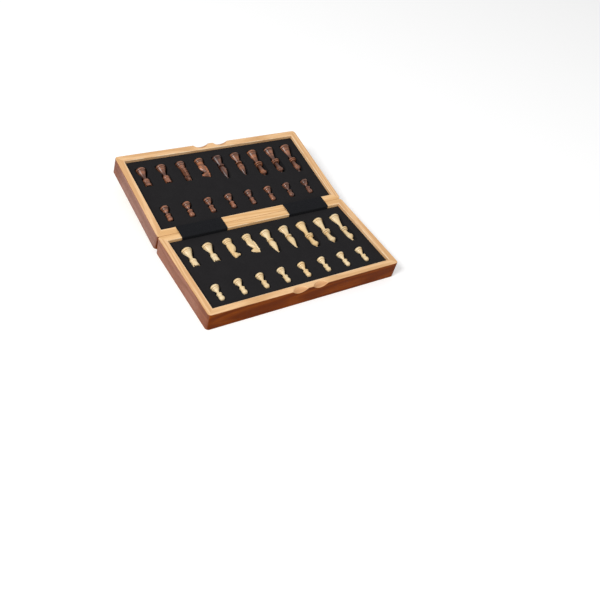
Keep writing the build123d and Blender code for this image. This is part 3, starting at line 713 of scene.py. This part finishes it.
def turn_over(shape, line):
    """Leans the top of a pocket's wall out into the foam, and returns the last ring."""
    steps, tightest = towards_foam(line)
    width = TIGHT_EDGE if tightest < TIGHT_CORNER else POCKET_EDGE
    for vert in line:
        vert.co.z -= width
    places = [vert.co.copy() for vert in line]
    ring = line
    for n in range(1, EDGE_RINGS + 1):
        angle = pi / 2 * n / EDGE_RINGS
        out, up = width * (1 - cos(angle)), Vector((0.0, 0.0, width * sin(angle)))
        upper = [shape.verts.new(place + step * out + up) for place, step in zip(places, steps)]
        for a, b, c, d in zip(ring, ring[1:] + ring[:1], upper[1:] + upper[:1], upper):
            shape.faces.new((a, b, c, d))
        ring = upper
    return ring


print("edges rounded by", round(POCKET_EDGE / MM, 2), "mm, tight ones by", round(TIGHT_EDGE / MM, 2), "mm")

# %% Foam pieces
SAME_POINT = 0.01 * MM


def foam_piece(tray):
    cad = f"{tray}_foam_insert"
    shape = bmesh.new()
    shape.from_mesh(nodes[cad].data)
    bmesh.ops.transform(shape, matrix=laid_flat[tray], verts=shape.verts)
    bmesh.ops.remove_doubles(shape, verts=shape.verts, dist=SAME_POINT)
    top = [face for face in shape.faces if min(vert.co.z for vert in face.verts) > FOAM_TOP - SAME_POINT]
    lines = sorted(lines_round(top), key=lambda line: max(abs(vert.co.x) for vert in line))
    bmesh.ops.delete(shape, geom=top, context="FACES_ONLY")
    rings = [turn_over(shape, line) for line in lines[:-1]] + lines[-1:]
    pairs = [pair for ring in rings for pair in zip(ring, ring[1:] + ring[:1])]
    rims = [shape.edges.get(pair) or shape.edges.new(pair) for pair in pairs]
    lid_on = bmesh.ops.triangle_fill(shape, use_beauty=True, edges=rims)["geom"]
    flat = [part for part in lid_on if isinstance(part, bmesh.types.BMFace)]
    bmesh.ops.recalc_face_normals(shape, faces=shape.faces)
    bmesh.ops.transform(shape, matrix=laid_flat[tray].inverted(), verts=shape.verts)
    made = new_piece(f"{tray}_foam", shape, foam_black, flat)
    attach(made, tray)
    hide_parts(cad)
    return made, len(lines) - 1


for tray in ("base", "lid"):
    made, pockets = foam_piece(tray)
    print(made.name, "has", pockets, "pockets and", len(made.data.polygons), "faces")

# %% [markdown]
# ## Cloth over the hinges
# Each hinge is hidden under a strip of black cloth that is glued to both rails and runs down to the foam. It is one
# sheet across the gap, made bent over the hinge as the lid lies open. It is made from its section, which is drawn once
# for the base's half and mirrored for the lid's, and given a little slack and a few shallow creases.

# %% Cloth finish
CLOTH_BLACK = (0.0072, 0.0075, 0.0090, 1.0)
CLOTH_DUSTY = (0.0145, 0.0150, 0.0172, 1.0)

cloth_black, tree, shader = new_material("black cloth", 0.9, Specular_IOR_Level=0.08)
fluff = noise(tree, on_object(tree), 900.0, detail=4, roughness=0.7)
colour = blend_colour(tree, fade(tree, fluff, 0.3, 0.75), CLOTH_BLACK, CLOTH_DUSTY)
connect(tree, shader, colour, None, fluff, 0.2 * MM, 0.6)
print("material", cloth_black.name)

# %% Cloth section
# The section from the foam up and over the base's rail, as millimetres of Y and Z
SECTION = ((62.15, 21.05), (62.15, 24.9), (62.4, 25.5), (63.0, 25.75), (66.5, 26.05), (70.0, 26.6), (72.65, 26.9))
CLOTH_STEP = 0.7 * MM     # along the section


def resample(points, step):
    """Points at an even step along a broken line, and its length."""
    lengths = [0.0]
    for a, b in zip(points, points[1:]):
        lengths.append(lengths[-1] + hypot(b[0] - a[0], b[1] - a[1]))
    count = max(2, round(lengths[-1] / step) + 1)
    even = []
    for n in range(count):
        at = lengths[-1] * n / (count - 1)
        k = max(i for i in range(len(points) - 1) if lengths[i] <= at + 1e-12)
        share = (at - lengths[k]) / (lengths[k + 1] - lengths[k])
        even.append(tuple(a + share * (b - a) for a, b in zip(points[k], points[k + 1])))
    return even, lengths[-1]


half = [(y * MM, z * MM) for y, z in SECTION]
mirrored = [(2 * HINGE.y - y, z) for y, z in reversed(half[:-1])]
cloth_line, cloth_length = resample(half + mirrored, CLOTH_STEP)
print("the cloth's section is", round(cloth_length / MM, 1), "mm long")

# %% Cloth pieces
CLOTH_THICKNESS = 0.45 * MM
CLOTH_COLUMNS = 34        # on each side of the middle
BEND_HALF = 2.0 * MM      # the cloth bends this far to either side of the hinge
SLACK = 0.18 * MM
CREASED = (1.0 * MM, 7.0 * MM)    # creases die out between these distances from the hinge


def smooth(value, low, high):
    """0 up to low, 1 from high on, and an even swing between."""
    share = min(max((value - low) / (high - low), 0.0), 1.0)
    return share * share * (3 - 2 * share)


def made_plain(thing):
    """Puts what the modifiers make in the mesh's place and takes them off."""
    bpy.context.view_layer.update()
    whole = bpy.data.meshes.new_from_object(thing.evaluated_get(bpy.context.evaluated_depsgraph_get()))
    thing.modifiers.clear()
    thing.data = whole
    return thing


def crease(across, y):
    """Slack in the cloth: shallow folds over the hinge that die out at the glued parts."""
    near = 1 - smooth(abs(y - HINGE.y), *CREASED)
    return near * SLACK * (sin(across / MM * 0.33 + 0.8) + 0.6 * sin(across / MM * 0.71 + y / MM * 0.5))


def cloth_piece(side):
    low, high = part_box(f"base_{side}_hinge_cover")
    x, reach = (low.x + high.x) / 2, (high.x - low.x) / 2
    columns = [reach * (n / CLOTH_COLUMNS - 1) for n in range(2 * CLOTH_COLUMNS + 1)]
    rows = []
    for y, z in cloth_line:
        lifted = smooth(y, HINGE.y - BEND_HALF, HINGE.y + BEND_HALF)
        bend = to_hinge @ Matrix.Rotation(RAISED * lifted, 4, "X") @ to_hinge.inverted()
        rows.append([bend @ Vector((x + across, y, z + crease(across, y))) for across in columns])
    shape = bmesh.new()
    grid = [[shape.verts.new(p) for p in row] for row in rows]
    for near, far in zip(grid, grid[1:]):
        for a, b, c, d in zip(near, near[1:], far[1:], far):
            shape.faces.new((a, b, c, d))
    made = new_piece(f"{side}_hinge_cloth", shape, cloth_black)
    thick = made.modifiers.new("thickness", "SOLIDIFY")
    thick.thickness, thick.offset = CLOTH_THICKNESS, 1.0
    made_plain(made)
    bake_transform(made)
    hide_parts(f"base_{side}_hinge_cover", f"lid_{side}_hinge_cover")
    return made, 2 * reach


for side in ("left", "right"):
    made, width = cloth_piece(side)
    print(made.name, "is", round(width / MM, 1), "by", round(cloth_length / MM, 1), "mm flat")

# %% [markdown]
# ## Brass
# Leaves, knuckles, pins and screws are plain brass, brushed along the leaf. They show only where the cloth ends.

# %% Brass
BRASS = (0.78, 0.56, 0.24, 1.0)
BRASS_DULL = (0.66, 0.46, 0.19, 1.0)

brass, tree, shader = new_material("hinge brass", 0.32, Metallic=1.0)
brushed = noise(tree, stretch(tree, on_object(tree), 60.0, 2500.0, 2500.0), detail=3)
colour = blend_colour(tree, fade(tree, brushed, 0.3, 0.7), BRASS, BRASS_DULL)
connect(tree, shader, colour, calc(tree, "MULTIPLY_ADD", brushed, 0.2, 0.22), brushed, 0.02 * MM, 0.4)
metal = [name for name in nodes if name.endswith(("_hinge_leaf", "_hinge_pin", "_hinge_screws"))]
for name in metal:
    give(nodes[name], brass)
print("brass on", len(metal), "nodes")

# %% [markdown]
# ## Wood of the pieces
# The pieces are turned from small blanks, so the grain runs along each piece and differs from one to the next. The
# group finds the piece's number in its row from its place, and from that its own axis and its own cut of the wood. The
# lathe leaves fine rings round the axis, and the finish takes unevenly along a piece, in bands.

# %% Node group: a piece's own wood
OWN_CUT = 0.4             # how far apart two pieces' cuts of the wood can lie, in metres
RINGS = 1400.0            # along a metre of the axis
FINISH_BANDS = 260.0
APART = 7.3               # keeps one piece's rings and bands unlike the next one's


def combined(tree, **parts):
    return add(tree, "ShaderNodeCombineXYZ", parts).outputs[0]


own, given, out = new_group(
    "piece's own wood",
    [("Vector", "Vector", None), ("First", "Float", 0.0), ("Pitch", "Float", 0.03), ("Seed", "Float", 0.0)],
    [("Vector", "Vector"), ("Number", "Float"), ("Across", "Float"), ("Rings", "Float"), ("Bands", "Float")],
)
parts = split(own, given["Vector"])
steps = calc(own, "DIVIDE", calc(own, "SUBTRACT", parts["X"], given["First"]), given["Pitch"])
number = calc(own, "ROUND", steps)
local = calc(own, "SUBTRACT", parts["X"], calc(own, "MULTIPLY_ADD", number, given["Pitch"], given["First"]))
own.links.new(number, out["Number"])
own.links.new(local, out["Across"])
draw = {"W": calc(own, "ADD", number, given["Seed"])}
chance = add(own, "ShaderNodeTexWhiteNoise", draw, noise_dimensions="1D").outputs["Color"]
lying = combined(own, X=parts["Y"], Y=local, Z=parts["Z"])
cut = add(own, "ShaderNodeVectorMath", {0: lying, 1: scaled(own, chance, OWN_CUT)}, operation="ADD")
own.links.new(cut.outputs[0], out["Vector"])
for output, count, detail in (("Rings", RINGS, 2), ("Bands", FINISH_BANDS, 1)):
    turns = calc(own, "MULTIPLY_ADD", parts["Y"], count, calc(own, "MULTIPLY", number, APART))
    own.links.new(noise(own, combined(own, X=turns), detail=detail), out[output])
print("group", own.name)

# %% [markdown]
# ## Finish of the pieces
# The light side is plain wood, the dark side has a dark stain. Each piece has its own warmth, since no two blanks are
# alike. Shade is painted into the colour in two grooves above the foot and wherever a piece is narrow, so a second
# measure finds how far a point lies from its piece's axis, and the painted shade deepens as that gets small.

# %% Colours of both sides
# The colours blended in on narrow parts are painted shade, and the uneven finish bands take the same colour; the groove
# colours are painted shade in the grooves above the foot
LIGHT = (0.87, 0.725, 0.465, 1.0)
LIGHT_DEEP = (0.78, 0.57, 0.30, 1.0)
LIGHT_WARM = (0.84, 0.56, 0.245, 1.0)
LIGHT_SHADE_AND_BAND = (0.70, 0.47, 0.22, 1.0)
LIGHT_GROOVE_SHADE = (0.42, 0.24, 0.10, 1.0)
DARK = (0.335, 0.136, 0.080, 1.0)
DARK_DEEP = (0.075, 0.026, 0.015, 1.0)
DARK_WARM = (0.45, 0.160, 0.062, 1.0)
DARK_SHADE_AND_BAND = (0.045, 0.017, 0.012, 1.0)
DARK_GROOVE_SHADE = (0.020, 0.010, 0.008, 1.0)
WOODS = {
    "light": ("base", LIGHT, LIGHT_DEEP, LIGHT_WARM, LIGHT_SHADE_AND_BAND, LIGHT_GROOVE_SHADE),
    "dark": ("lid", DARK, DARK_DEEP, DARK_WARM, DARK_SHADE_AND_BAND, DARK_GROOVE_SHADE),
}
print("wood of", len(WOODS), "sides")

# %% Where the pieces lie
def members(side, row):
    """The names of one side's officers or pawns."""
    return [name for name in nodes if name.startswith(side + "_") and ("pawn" in name) == (row == "pawns")]


def lying_place(name, tray, turn):
    """Where a lying piece's foot is, with its head towards -Y of its tray."""
    points = [laid_flat[tray] @ vert.co for vert in nodes[name].data.vertices]
    low = [min(p[axis] for p in points) for axis in range(3)]
    high = [max(p[axis] for p in points) for axis in range(3)]
    foot = Vector(((low[0] + high[0]) / 2, high[1], (low[2] + high[2]) / 2))
    return laid_flat[tray].inverted() @ Matrix.Translation(foot) @ Matrix.Rotation(turn, 4, "Y")


def row_of(side, row):
    """Where the first axis of a row stands, and how far apart they are."""
    first, last, count = ("rook_1", "king", 9) if row == "officers" else ("pawn_1", "pawn_8", 8)
    ends = [sum(corner.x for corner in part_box(f"{side}_{name}")) / 2 for name in (first, last)]
    return ends[0], (ends[1] - ends[0]) / (count - 1)


for side in WOODS:
    first, pitch = row_of(side, "officers")
    print(side, "officers lie", round(pitch / MM, 2), "mm apart")

# %% Measures on a piece
def value_of(tree, number, values):
    """The value that belongs to a piece's number in its row."""
    ramp = add(tree, "ShaderNodeValToRGB", {0: calc(tree, "DIVIDE", calc(tree, "ADD", number, 0.5), len(values))})
    ramp.color_ramp.interpolation = "CONSTANT"
    stops = ramp.color_ramp.elements
    for n in range(2, len(values)):
        stops.new(n / len(values))
    for n, value in enumerate(values):
        stops[n].position, stops[n].color = n / len(values), (value, value, value, 1.0)
    return ramp.outputs[0]


def from_foot_and_axis(tree, point, found, side, row, tray):
    """How far a point lies from the foot and from the axis of its piece."""
    feet = [(laid_flat[tray] @ lying_place(name, tray, 0.0)).to_translation() for name in members(side, row)]
    first = row_of(side, row)[0]
    feet.sort(key=lambda foot: abs(foot.x - first))
    parts = split(tree, point)
    rise = calc(tree, "SUBTRACT", parts["Z"], value_of(tree, found["Number"], [foot.z for foot in feet]))
    off_axis = {0: combined(tree, X=found["Across"], Y=rise)}
    radius = add(tree, "ShaderNodeVectorMath", off_axis, operation="LENGTH").outputs["Value"]
    return calc(tree, "SUBTRACT", feet[0].y, parts["Y"]), radius


print("a point knows its piece's foot and axis")

# %% Wood for both sides
# How warm each piece's wood is, from left to right
TONES = {
    "light officers": (0.15, 0.1, 0.5, 0.25, 0.2, 0.0, 0.85, 0.2, 0.2),
    "light pawns": (0.15, 0.35, 0.1, 0.1, 0.6, 0.3, 0.2, 0.2),
    "dark officers": (0.3, 0.35, 0.25, 1.0, 0.0, 0.45, 0.7, 0.3, 0.45),
    "dark pawns": (0.45, 0.4, 0.3, 0.35, 0.2, 0.35, 0.2, 0.1),
}
TONE_SHARE = 0.8
FIGURE = {"light": (0.8, 0.3), "dark": (1.3, 0.65)}   # how strongly layers and fibres show
NARROW = {"officers": (2.8 * MM, 4.9 * MM), "pawns": (1.8 * MM, 3.0 * MM)}  # radii of the parts that are narrow
NARROW_SHADE = {"light": 0.25, "dark": 0.8}               # how much painted shade darkens the narrow parts
BANDS = {"light": 0.1, "dark": 0.6}                   # how unevenly the finish took along a piece
ABOVE_FOOT = (2.0 * MM, 4.0 * MM)                     # the foot's own face stays even
SHADED_GROOVES = (3.2 * MM, 5.3 * MM)                        # distances from the foot of the grooves where shade is painted
GROOVE_SHADE_HALF = {"light": 0.35 * MM, "dark": 0.9 * MM}
SEEDS = {"light officers": 21.0, "light pawns": 3.0, "dark officers": 61.0, "dark pawns": 43.0}


def piece_wood(side, row, tray, plain, deep, warm, shade_and_band, groove):
    finish = {"Specular_IOR_Level": 0.35, "Coat_Weight": 0.2, "Coat_Roughness": 0.18}
    material, tree, shader = new_material(f"{side} {row} wood", 0.42, **finish)
    point = moved_by(tree, on_object(tree), laid_flat[tray])
    first, pitch = row_of(side, row)
    found = place_group(tree, own, Vector=point, First=first, Pitch=pitch, Seed=SEEDS[f"{side} {row}"])
    lines = place_group(tree, grain, Vector=found["Vector"], Layer_width=3.5 * MM, Layers=4.0, Fibre_width=0.35 * MM)
    contrast, share = FIGURE[side]
    colour = between(tree, lines, plain, deep, contrast=contrast, fibre_share=share, pore_share=0.5)
    warmth = value_of(tree, found["Number"], TONES[f"{side} {row}"])
    colour = blend_colour(tree, calc(tree, "MULTIPLY", warmth, TONE_SHARE), colour, warm)
    from_foot, radius = from_foot_and_axis(tree, point, found, side, row, tray)
    # painted shade where the piece is narrow; the random finish bands blend to the same colour
    narrow = fade(tree, radius, *NARROW[row], NARROW_SHADE[side], 0.0)
    narrow = calc(tree, "MULTIPLY", narrow, fade(tree, from_foot, *ABOVE_FOOT))
    banded = fade(tree, found["Bands"], 0.48, 0.62, 0.0, BANDS[side])
    colour = blend_colour(tree, calc(tree, "MAXIMUM", narrow, banded), colour, shade_and_band)
    # painted shade in two grooves above the foot
    for at in SHADED_GROOVES:
        near = calc(tree, "ABSOLUTE", calc(tree, "SUBTRACT", from_foot, at))
        colour = blend_colour(tree, fade(tree, near, 0.0, GROOVE_SHADE_HALF[side], 0.85, 0.0), colour, groove)
    ringed = calc(tree, "MULTIPLY_ADD", found["Rings"], 0.6, calc(tree, "MULTIPLY", lines["Height"], 0.4))
    connect(tree, shader, colour, calc(tree, "MULTIPLY_ADD", lines["Fibre"], 0.16, 0.28), ringed, 0.06 * MM, 0.5)
    return material


for side, (tray, *tones) in WOODS.items():
    for row in ("officers", "pawns"):
        material = piece_wood(side, row, tray, *tones)
        for name in members(side, row):
            give(nodes[name], material)
print("wood on both sides' pieces")

# %% [markdown]
# ## Knights
# The four knights are carved, not turned, so the plain solid gives only their side view. The carver would saw that
# outline, round it over and then cut the face and mane. The same order is followed here. The turned foot is kept. The
# head is remeshed finely, thinned towards its outline, and its face is pushed in and out by named marks.

# %% Knights' places
KNIGHTS = {
    "light_knight_1": ("base", 0.0),
    "light_knight_2": ("base", pi),
    "dark_knight_1": ("lid", pi / 2),
    "dark_knight_2": ("lid", pi),
}
knight_places = {name: lying_place(name, *how) for name, how in KNIGHTS.items()}
for name, place in knight_places.items():
    print(name, "has its foot at", tuple(round(v / MM, 1) for v in place.to_translation()), "mm")

# %% Knight: the sawn head
HEAD_FROM = -8.2 * MM     # the head is cut from the turned foot here
CHEEKS_FROM = -9.2 * MM   # the cheeks are flat from here up
OUTLINE_STEP = 0.15 * MM


def cut_off(shape, y, keep_foot):
    """Cuts a shape across at y, keeps one side and closes it."""
    whole = shape.verts[:] + shape.edges[:] + shape.faces[:]
    cut = bmesh.ops.bisect_plane(
        shape, geom=whole, plane_co=(0, y, 0), plane_no=(0, 1, 0), clear_inner=keep_foot, clear_outer=not keep_foot
    )
    edges = [part for part in cut["geom_cut"] if isinstance(part, bmesh.types.BMEdge)]
    bmesh.ops.triangle_fill(shape, use_beauty=True, edges=edges)
    bmesh.ops.recalc_face_normals(shape, faces=shape.faces)


def plain_knight():
    """The first light knight in its own place: foot at the origin, head towards -Y, facing +X."""
    shape = bmesh.new()
    shape.from_mesh(nodes["light_knight_1"].data)
    bmesh.ops.transform(shape, matrix=knight_places["light_knight_1"].inverted(), verts=shape.verts)
    bmesh.ops.remove_doubles(shape, verts=shape.verts, dist=SAME_POINT)
    return shape


def side_view(shape):
    """The sawn outline as a tree of points to search, from where the flat cheeks begin."""
    points = []
    for edge in shape.edges:
        cheeks = [abs(face.normal.z) > 0.8 for face in edge.link_faces]
        a, b = [vert.co for vert in edge.verts]
        if any(cheeks) and not all(cheeks) and max(a.y, b.y) < CHEEKS_FROM:
            count = max(1, round((a - b).length / OUTLINE_STEP))
            points += [a.lerp(b, n / count) for n in range(count)]
    tree = KDTree(len(points))
    for n, point in enumerate(points):
        tree.insert((point.x, point.y, 0.0), n)
    tree.balance()
    return tree


outline = side_view(plain_knight())
print("the outline passes", round(outline.find((0.0, -20 * MM, 0.0))[2] / MM, 1), "mm from the neck's middle")

# %% Knight: one even skin
FINE = 0.22 * MM          # side of the skin's cells

knight_wood = nodes["light_knight_1"].data.materials[0]


def evened(shape, rounds):
    """The shape after some rounds of smoothing."""
    for _ in range(rounds):
        bmesh.ops.smooth_vert(
            shape, verts=shape.verts, factor=0.5, use_axis_x=True, use_axis_y=True, use_axis_z=True
        )
    return shape


def remeshed(shape, size):
    """The shape as one even skin."""
    rough = new_piece("rough head", shape, knight_wood)
    skin = rough.modifiers.new("skin", "REMESH")
    skin.mode, skin.voxel_size = "VOXEL", size
    skinned = bmesh.new()
    skinned.from_mesh(made_plain(rough).data)
    bpy.data.objects.remove(rough)
    return skinned


print("skin cells of", round(FINE / MM, 2), "mm")

# %% [markdown]
# ## Carving a knight's head
# On the real piece a knife rounds the sawn sides over and cuts a few marks: cheek, eye, nostril, mouth, jaw. Sculpting
# would do this by hand, but then no size could be changed. So each mark is a short line with a radius and a height, and
# every point of the skin is moved out or in by the marks it lies near. The distance to the sawn outline rounds it over.

# %% Knight: carving the head
ROUND_OVER = 3.2 * MM     # the rounding begins this far in from the outline
EDGE_SHARE = 0.3          # how much thickness is left right at the outline
# Half the head's thickness on the way up: (height, thickness), in millimetres
FLANKS = ((-8.6, 4.1), (-20.0, 3.5), (-26.0, 3.2), (-33.8, 2.5))
# What the knife leaves on both sides: (from, to, radius, how far it stands out), all in millimetres
CARVED = (
    ((-0.2, -27.0), (-0.2, -27.0), 2.1, 0.8),    # cheek
    ((1.6, -29.7), (1.6, -29.7), 1.2, -1.0),     # eye socket
    ((1.6, -29.6), (1.6, -29.6), 0.6, 1.5),      # eye
    ((0.0, -31.3), (3.0, -30.5), 0.5, 0.6),      # brow
    ((5.4, -28.3), (5.4, -28.3), 0.55, -1.5),    # nostril
    ((4.5, -28.9), (5.6, -27.4), 0.6, 0.5),      # nostril's rim
    ((6.6, -26.8), (3.4, -26.9), 0.32, -1.1),    # mouth
    ((1.4, -24.9), (-2.4, -25.0), 0.5, -0.9),    # under the jaw
    ((-2.4, -25.0), (-3.0, -28.6), 0.5, -0.9),   # behind the jaw
    ((2.8, -28.9), (4.2, -28.5), 0.8, -0.4),     # hollow before the eye
    ((2.4, -14.0), (-1.6, -22.0), 1.2, 0.5),     # muscle of the neck
    ((4.4, -17.0), (0.6, -22.4), 0.6, -0.5),     # windpipe's groove
)
MARK_REACH = 2.5          # a mark has died out at this many radii
MUZZLE_THINNED = 0.36     # the muzzle is thinner forward of the eye and above the jaw
MUZZLE_FORWARD = (1.5 * MM, 6.0 * MM)
MUZZLE_UP = (23.0 * MM, 25.5 * MM)
CREST_THINNED = 0.35      # the neck is thinner towards its crest
CREST_BACK = (1.0 * MM, 5.5 * MM)
FLAT_SIDE = (0.55, 0.95)  # marks are cut in the sides, not in the edge between them
MOST_SPREAD = 1.15
CARVED_ABOVE = (8.8 * MM, 10.4 * MM)
EAR_UP = (31.0 * MM, 32.2 * MM)
EAR_BACK = (-0.6 * MM, 1.2 * MM)
EAR_DEEP = 1.7 * MM       # the notch between the ears
EAR_NOTCH = 0.9 * MM
NECK_ROUND = 4.6 * MM     # the sawn head is pared to a round neck where it meets the turned foot
NECK_FROM = 9.0 * MM
NECK_FLARE = 0.9


def flank(y):
    """Half the head's thickness at y."""
    for (near, thick), (far, thin) in zip(FLANKS, FLANKS[1:]):
        if y >= far * MM:
            return (thick + (thin - thick) * min(max((y / MM - near) / (far - near), 0.0), 1.0)) * MM
    return FLANKS[-1][1] * MM


def carving(point):
    """How far the surface stands out at a point of the side view."""
    height = 0.0
    for start, end, radius, out in CARVED:
        a, b = Vector(start) * MM, Vector(end) * MM
        run = b - a
        share = min(max((point - a).dot(run) / run.length_squared, 0.0), 1.0) if run.length else 0.0
        away = (point - a - run * share).length / (radius * MM)
        if away < MARK_REACH:
            height += out * MM * exp(-away * away)
    return height


def carve(head, outline):
    """Rounds the sawn head over towards its outline, and cuts the face."""
    for vert in head.verts:
        x, y, z = vert.co
        half = flank(y)
        edge = outline.find((x, y, 0.0))[2] / ROUND_OVER
        rounded = EDGE_SHARE + (1 - EDGE_SHARE) * sqrt(1 - (1 - min(edge, 1.0)) ** 2)
        muzzle = 1 - MUZZLE_THINNED * smooth(x, *MUZZLE_FORWARD) * smooth(-y, *MUZZLE_UP)
        crest = 1 - CREST_THINNED * smooth(-x, *CREST_BACK)
        out = half * muzzle * crest * rounded * min(abs(z) / half, MOST_SPREAD)
        out += smooth(abs(z) / half, *FLAT_SIDE) * carving(Vector((x, y))) * rounded
        vert.co.z += smooth(-y, *CARVED_ABOVE) * ((out if z > 0 else -out) - z)
        neck = NECK_ROUND + max(0.0, -y - NECK_FROM) * NECK_FLARE
        reach = hypot(x, vert.co.z)
        if reach > neck:
            vert.co.x, vert.co.z = x * neck / reach, vert.co.z * neck / reach
        ears = smooth(-y, *EAR_UP) * smooth(-x, *EAR_BACK)
        vert.co.y += ears * EAR_DEEP * max(0.0, 1 - abs(vert.co.z) / EAR_NOTCH)


print(len(CARVED), "marks on each side of the head")

# %% [markdown]
# ## The mane
# The mane is a row of locks that follow the crest of the neck, with one more row down each side. That is one shape
# repeated along a line, which is what Geometry Nodes are for: the crest becomes a smooth curve, points are set along
# it, and a tapered ball is placed on each, turned along the crest and tilted outwards. A fixed seed varies their size.

# %% Knight: the mane as geometry nodes
CREST = ((-3.6, -32.4), (-4.7, -29.6), (-5.0, -26.6), (-5.3, -22.5), (-5.4, -18.6), (-5.2, -14.6), (-4.6, -11.2))
LOCKS = {"Spacing": 1.6 * MM, "Length": 3.0 * MM, "Width": 1.0 * MM, "Tilt": 0.8, "Spread": 1.75 * MM}
LOCK_TAPER = (-0.35, 0.65)        # a lock's thickness changes this much from its middle, and is this there
LOCK_SIZES = {2: 0.82, 3: 1.12, "Seed": 7}
LOCK_ROWS = ((0.0, 0.0, 0.25), (1.0, 1.3 * MM, 1.0), (-1.0, 1.3 * MM, 1.0))   # side, in from the crest, share of tilt
LOCK_SPLAY = 0.18


def locks_on(tree, row, line, lock, along_crest, size, given):
    """One row of locks along the crest."""
    side, inward, tilt_share = row
    offset = combined(tree, X=inward, Z=calc(tree, "MULTIPLY", given["Spread"], side))
    points = add(tree, "GeometryNodeSetPosition", {"Geometry": line, "Offset": offset}).outputs[0]
    tilted = combined(tree, X=-LOCK_SPLAY * side, Z=calc(tree, "MULTIPLY", given["Tilt"], -tilt_share))
    spin = add(tree, "FunctionNodeEulerToRotation", {0: tilted}).outputs[0]
    lying = add(tree, "FunctionNodeRotateRotation", {0: along_crest, 1: spin}, rotation_space="LOCAL").outputs[0]
    values = {"Points": points, "Instance": lock, "Rotation": lying, "Scale": size}
    return add(tree, "GeometryNodeInstanceOnPoints", values).outputs[0]


def locks_tree():
    tree = bpy.data.node_groups.new("mane locks", "GeometryNodeTree")
    tree.interface.new_socket("Geometry", in_out="INPUT", socket_type="NodeSocketGeometry")
    for label in LOCKS:
        tree.interface.new_socket(label, in_out="INPUT", socket_type="NodeSocketFloat")
    tree.interface.new_socket("Geometry", in_out="OUTPUT", socket_type="NodeSocketGeometry")
    given = add(tree, "NodeGroupInput").outputs
    line = add(tree, "GeometryNodeMeshToCurve", {0: given["Geometry"]}).outputs[0]
    line = add(tree, "GeometryNodeCurveSplineType", {0: line}, spline_type="CATMULL_ROM").outputs[0]
    values = {"Curve": line, "Length": given["Spacing"]}
    line = add(tree, "GeometryNodeResampleCurve", values, mode="LENGTH").outputs[0]
    ball = add(tree, "GeometryNodeMeshIcoSphere", {"Radius": 1.0, "Subdivisions": 3}).outputs[0]
    at = add(tree, "GeometryNodeInputPosition").outputs[0]
    narrow = calc(tree, "MULTIPLY_ADD", split(tree, at)["Y"], *LOCK_TAPER)
    taper = {0: at, 1: combined(tree, X=narrow, Y=1.0, Z=narrow)}
    drop = add(tree, "ShaderNodeVectorMath", taper, operation="MULTIPLY").outputs[0]
    lock = add(tree, "GeometryNodeSetPosition", {"Geometry": ball, "Position": drop}).outputs[0]
    tangent = add(tree, "GeometryNodeInputTangent").outputs[0]
    along_crest = add(tree, "FunctionNodeAlignRotationToVector", {"Vector": tangent}, axis="Y").outputs[0]
    vary = add(tree, "FunctionNodeRandomValue", LOCK_SIZES, data_type="FLOAT").outputs[1]
    size = scaled(tree, combined(tree, X=given["Width"], Y=given["Length"], Z=given["Width"]), vary)
    join = add(tree, "GeometryNodeJoinGeometry")
    for row in LOCK_ROWS:
        tree.links.new(locks_on(tree, row, line, lock, along_crest, size, given), join.inputs[0])
    whole = add(tree, "GeometryNodeRealizeInstances", {0: join.outputs[0]}).outputs[0]
    whole = add(tree, "GeometryNodeSetMaterial", {"Geometry": whole, "Material": knight_wood}).outputs[0]
    add(tree, "NodeGroupOutput", {0: whole})
    return tree


def mane():
    """The locks in the knight's own place, as a plain mesh."""
    line = bmesh.new()
    verts = [line.verts.new((x * MM, y * MM, 0.0)) for x, y in CREST]
    for a, b in zip(verts, verts[1:]):
        line.edges.new((a, b))
    made = new_piece("crest line", line, knight_wood)
    grown = made.modifiers.new("locks", "NODES")
    grown.node_group = locks_tree()
    for socket in grown.node_group.interface.items_tree:
        if socket.name in LOCKS:
            grown[socket.identifier] = LOCKS[socket.name]
    mesh = made_plain(made).data
    bpy.data.objects.remove(made)
    return mesh


locks = mane()
print("mane of", len(locks.polygons), "faces")

# %% [markdown]
# ## The four knights
# One knight is finished in its own place, with its foot at the origin, and then copied to the four places where the
# plain knights lie. Each copy rides on its own piece's body and takes the plain solid's place.

# %% Knights
INTO_FOOT = 0.2 * MM      # the head reaches this far into the turned foot


def carved_knight():
    """One knight in its own place: turned foot, carved head and mane."""
    foot, head = plain_knight(), plain_knight()
    cut_off(foot, HEAD_FROM - INTO_FOOT, True)
    cut_off(head, HEAD_FROM, False)
    head = evened(remeshed(head, FINE), 2)
    carve(head, outline)
    whole = bpy.data.meshes.new("carved head")
    evened(head, 1).to_mesh(whole)
    foot.from_mesh(whole)
    foot.from_mesh(locks)
    return foot


carved = carved_knight()
for name, place in knight_places.items():
    shape = carved.copy()
    bmesh.ops.transform(shape, matrix=place, verts=shape.verts)
    made = new_piece(f"{name}_carved", shape, nodes[name].data.materials[0])
    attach(made, name)
    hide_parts(name)
    print(made.name, len(made.data.polygons), "faces")
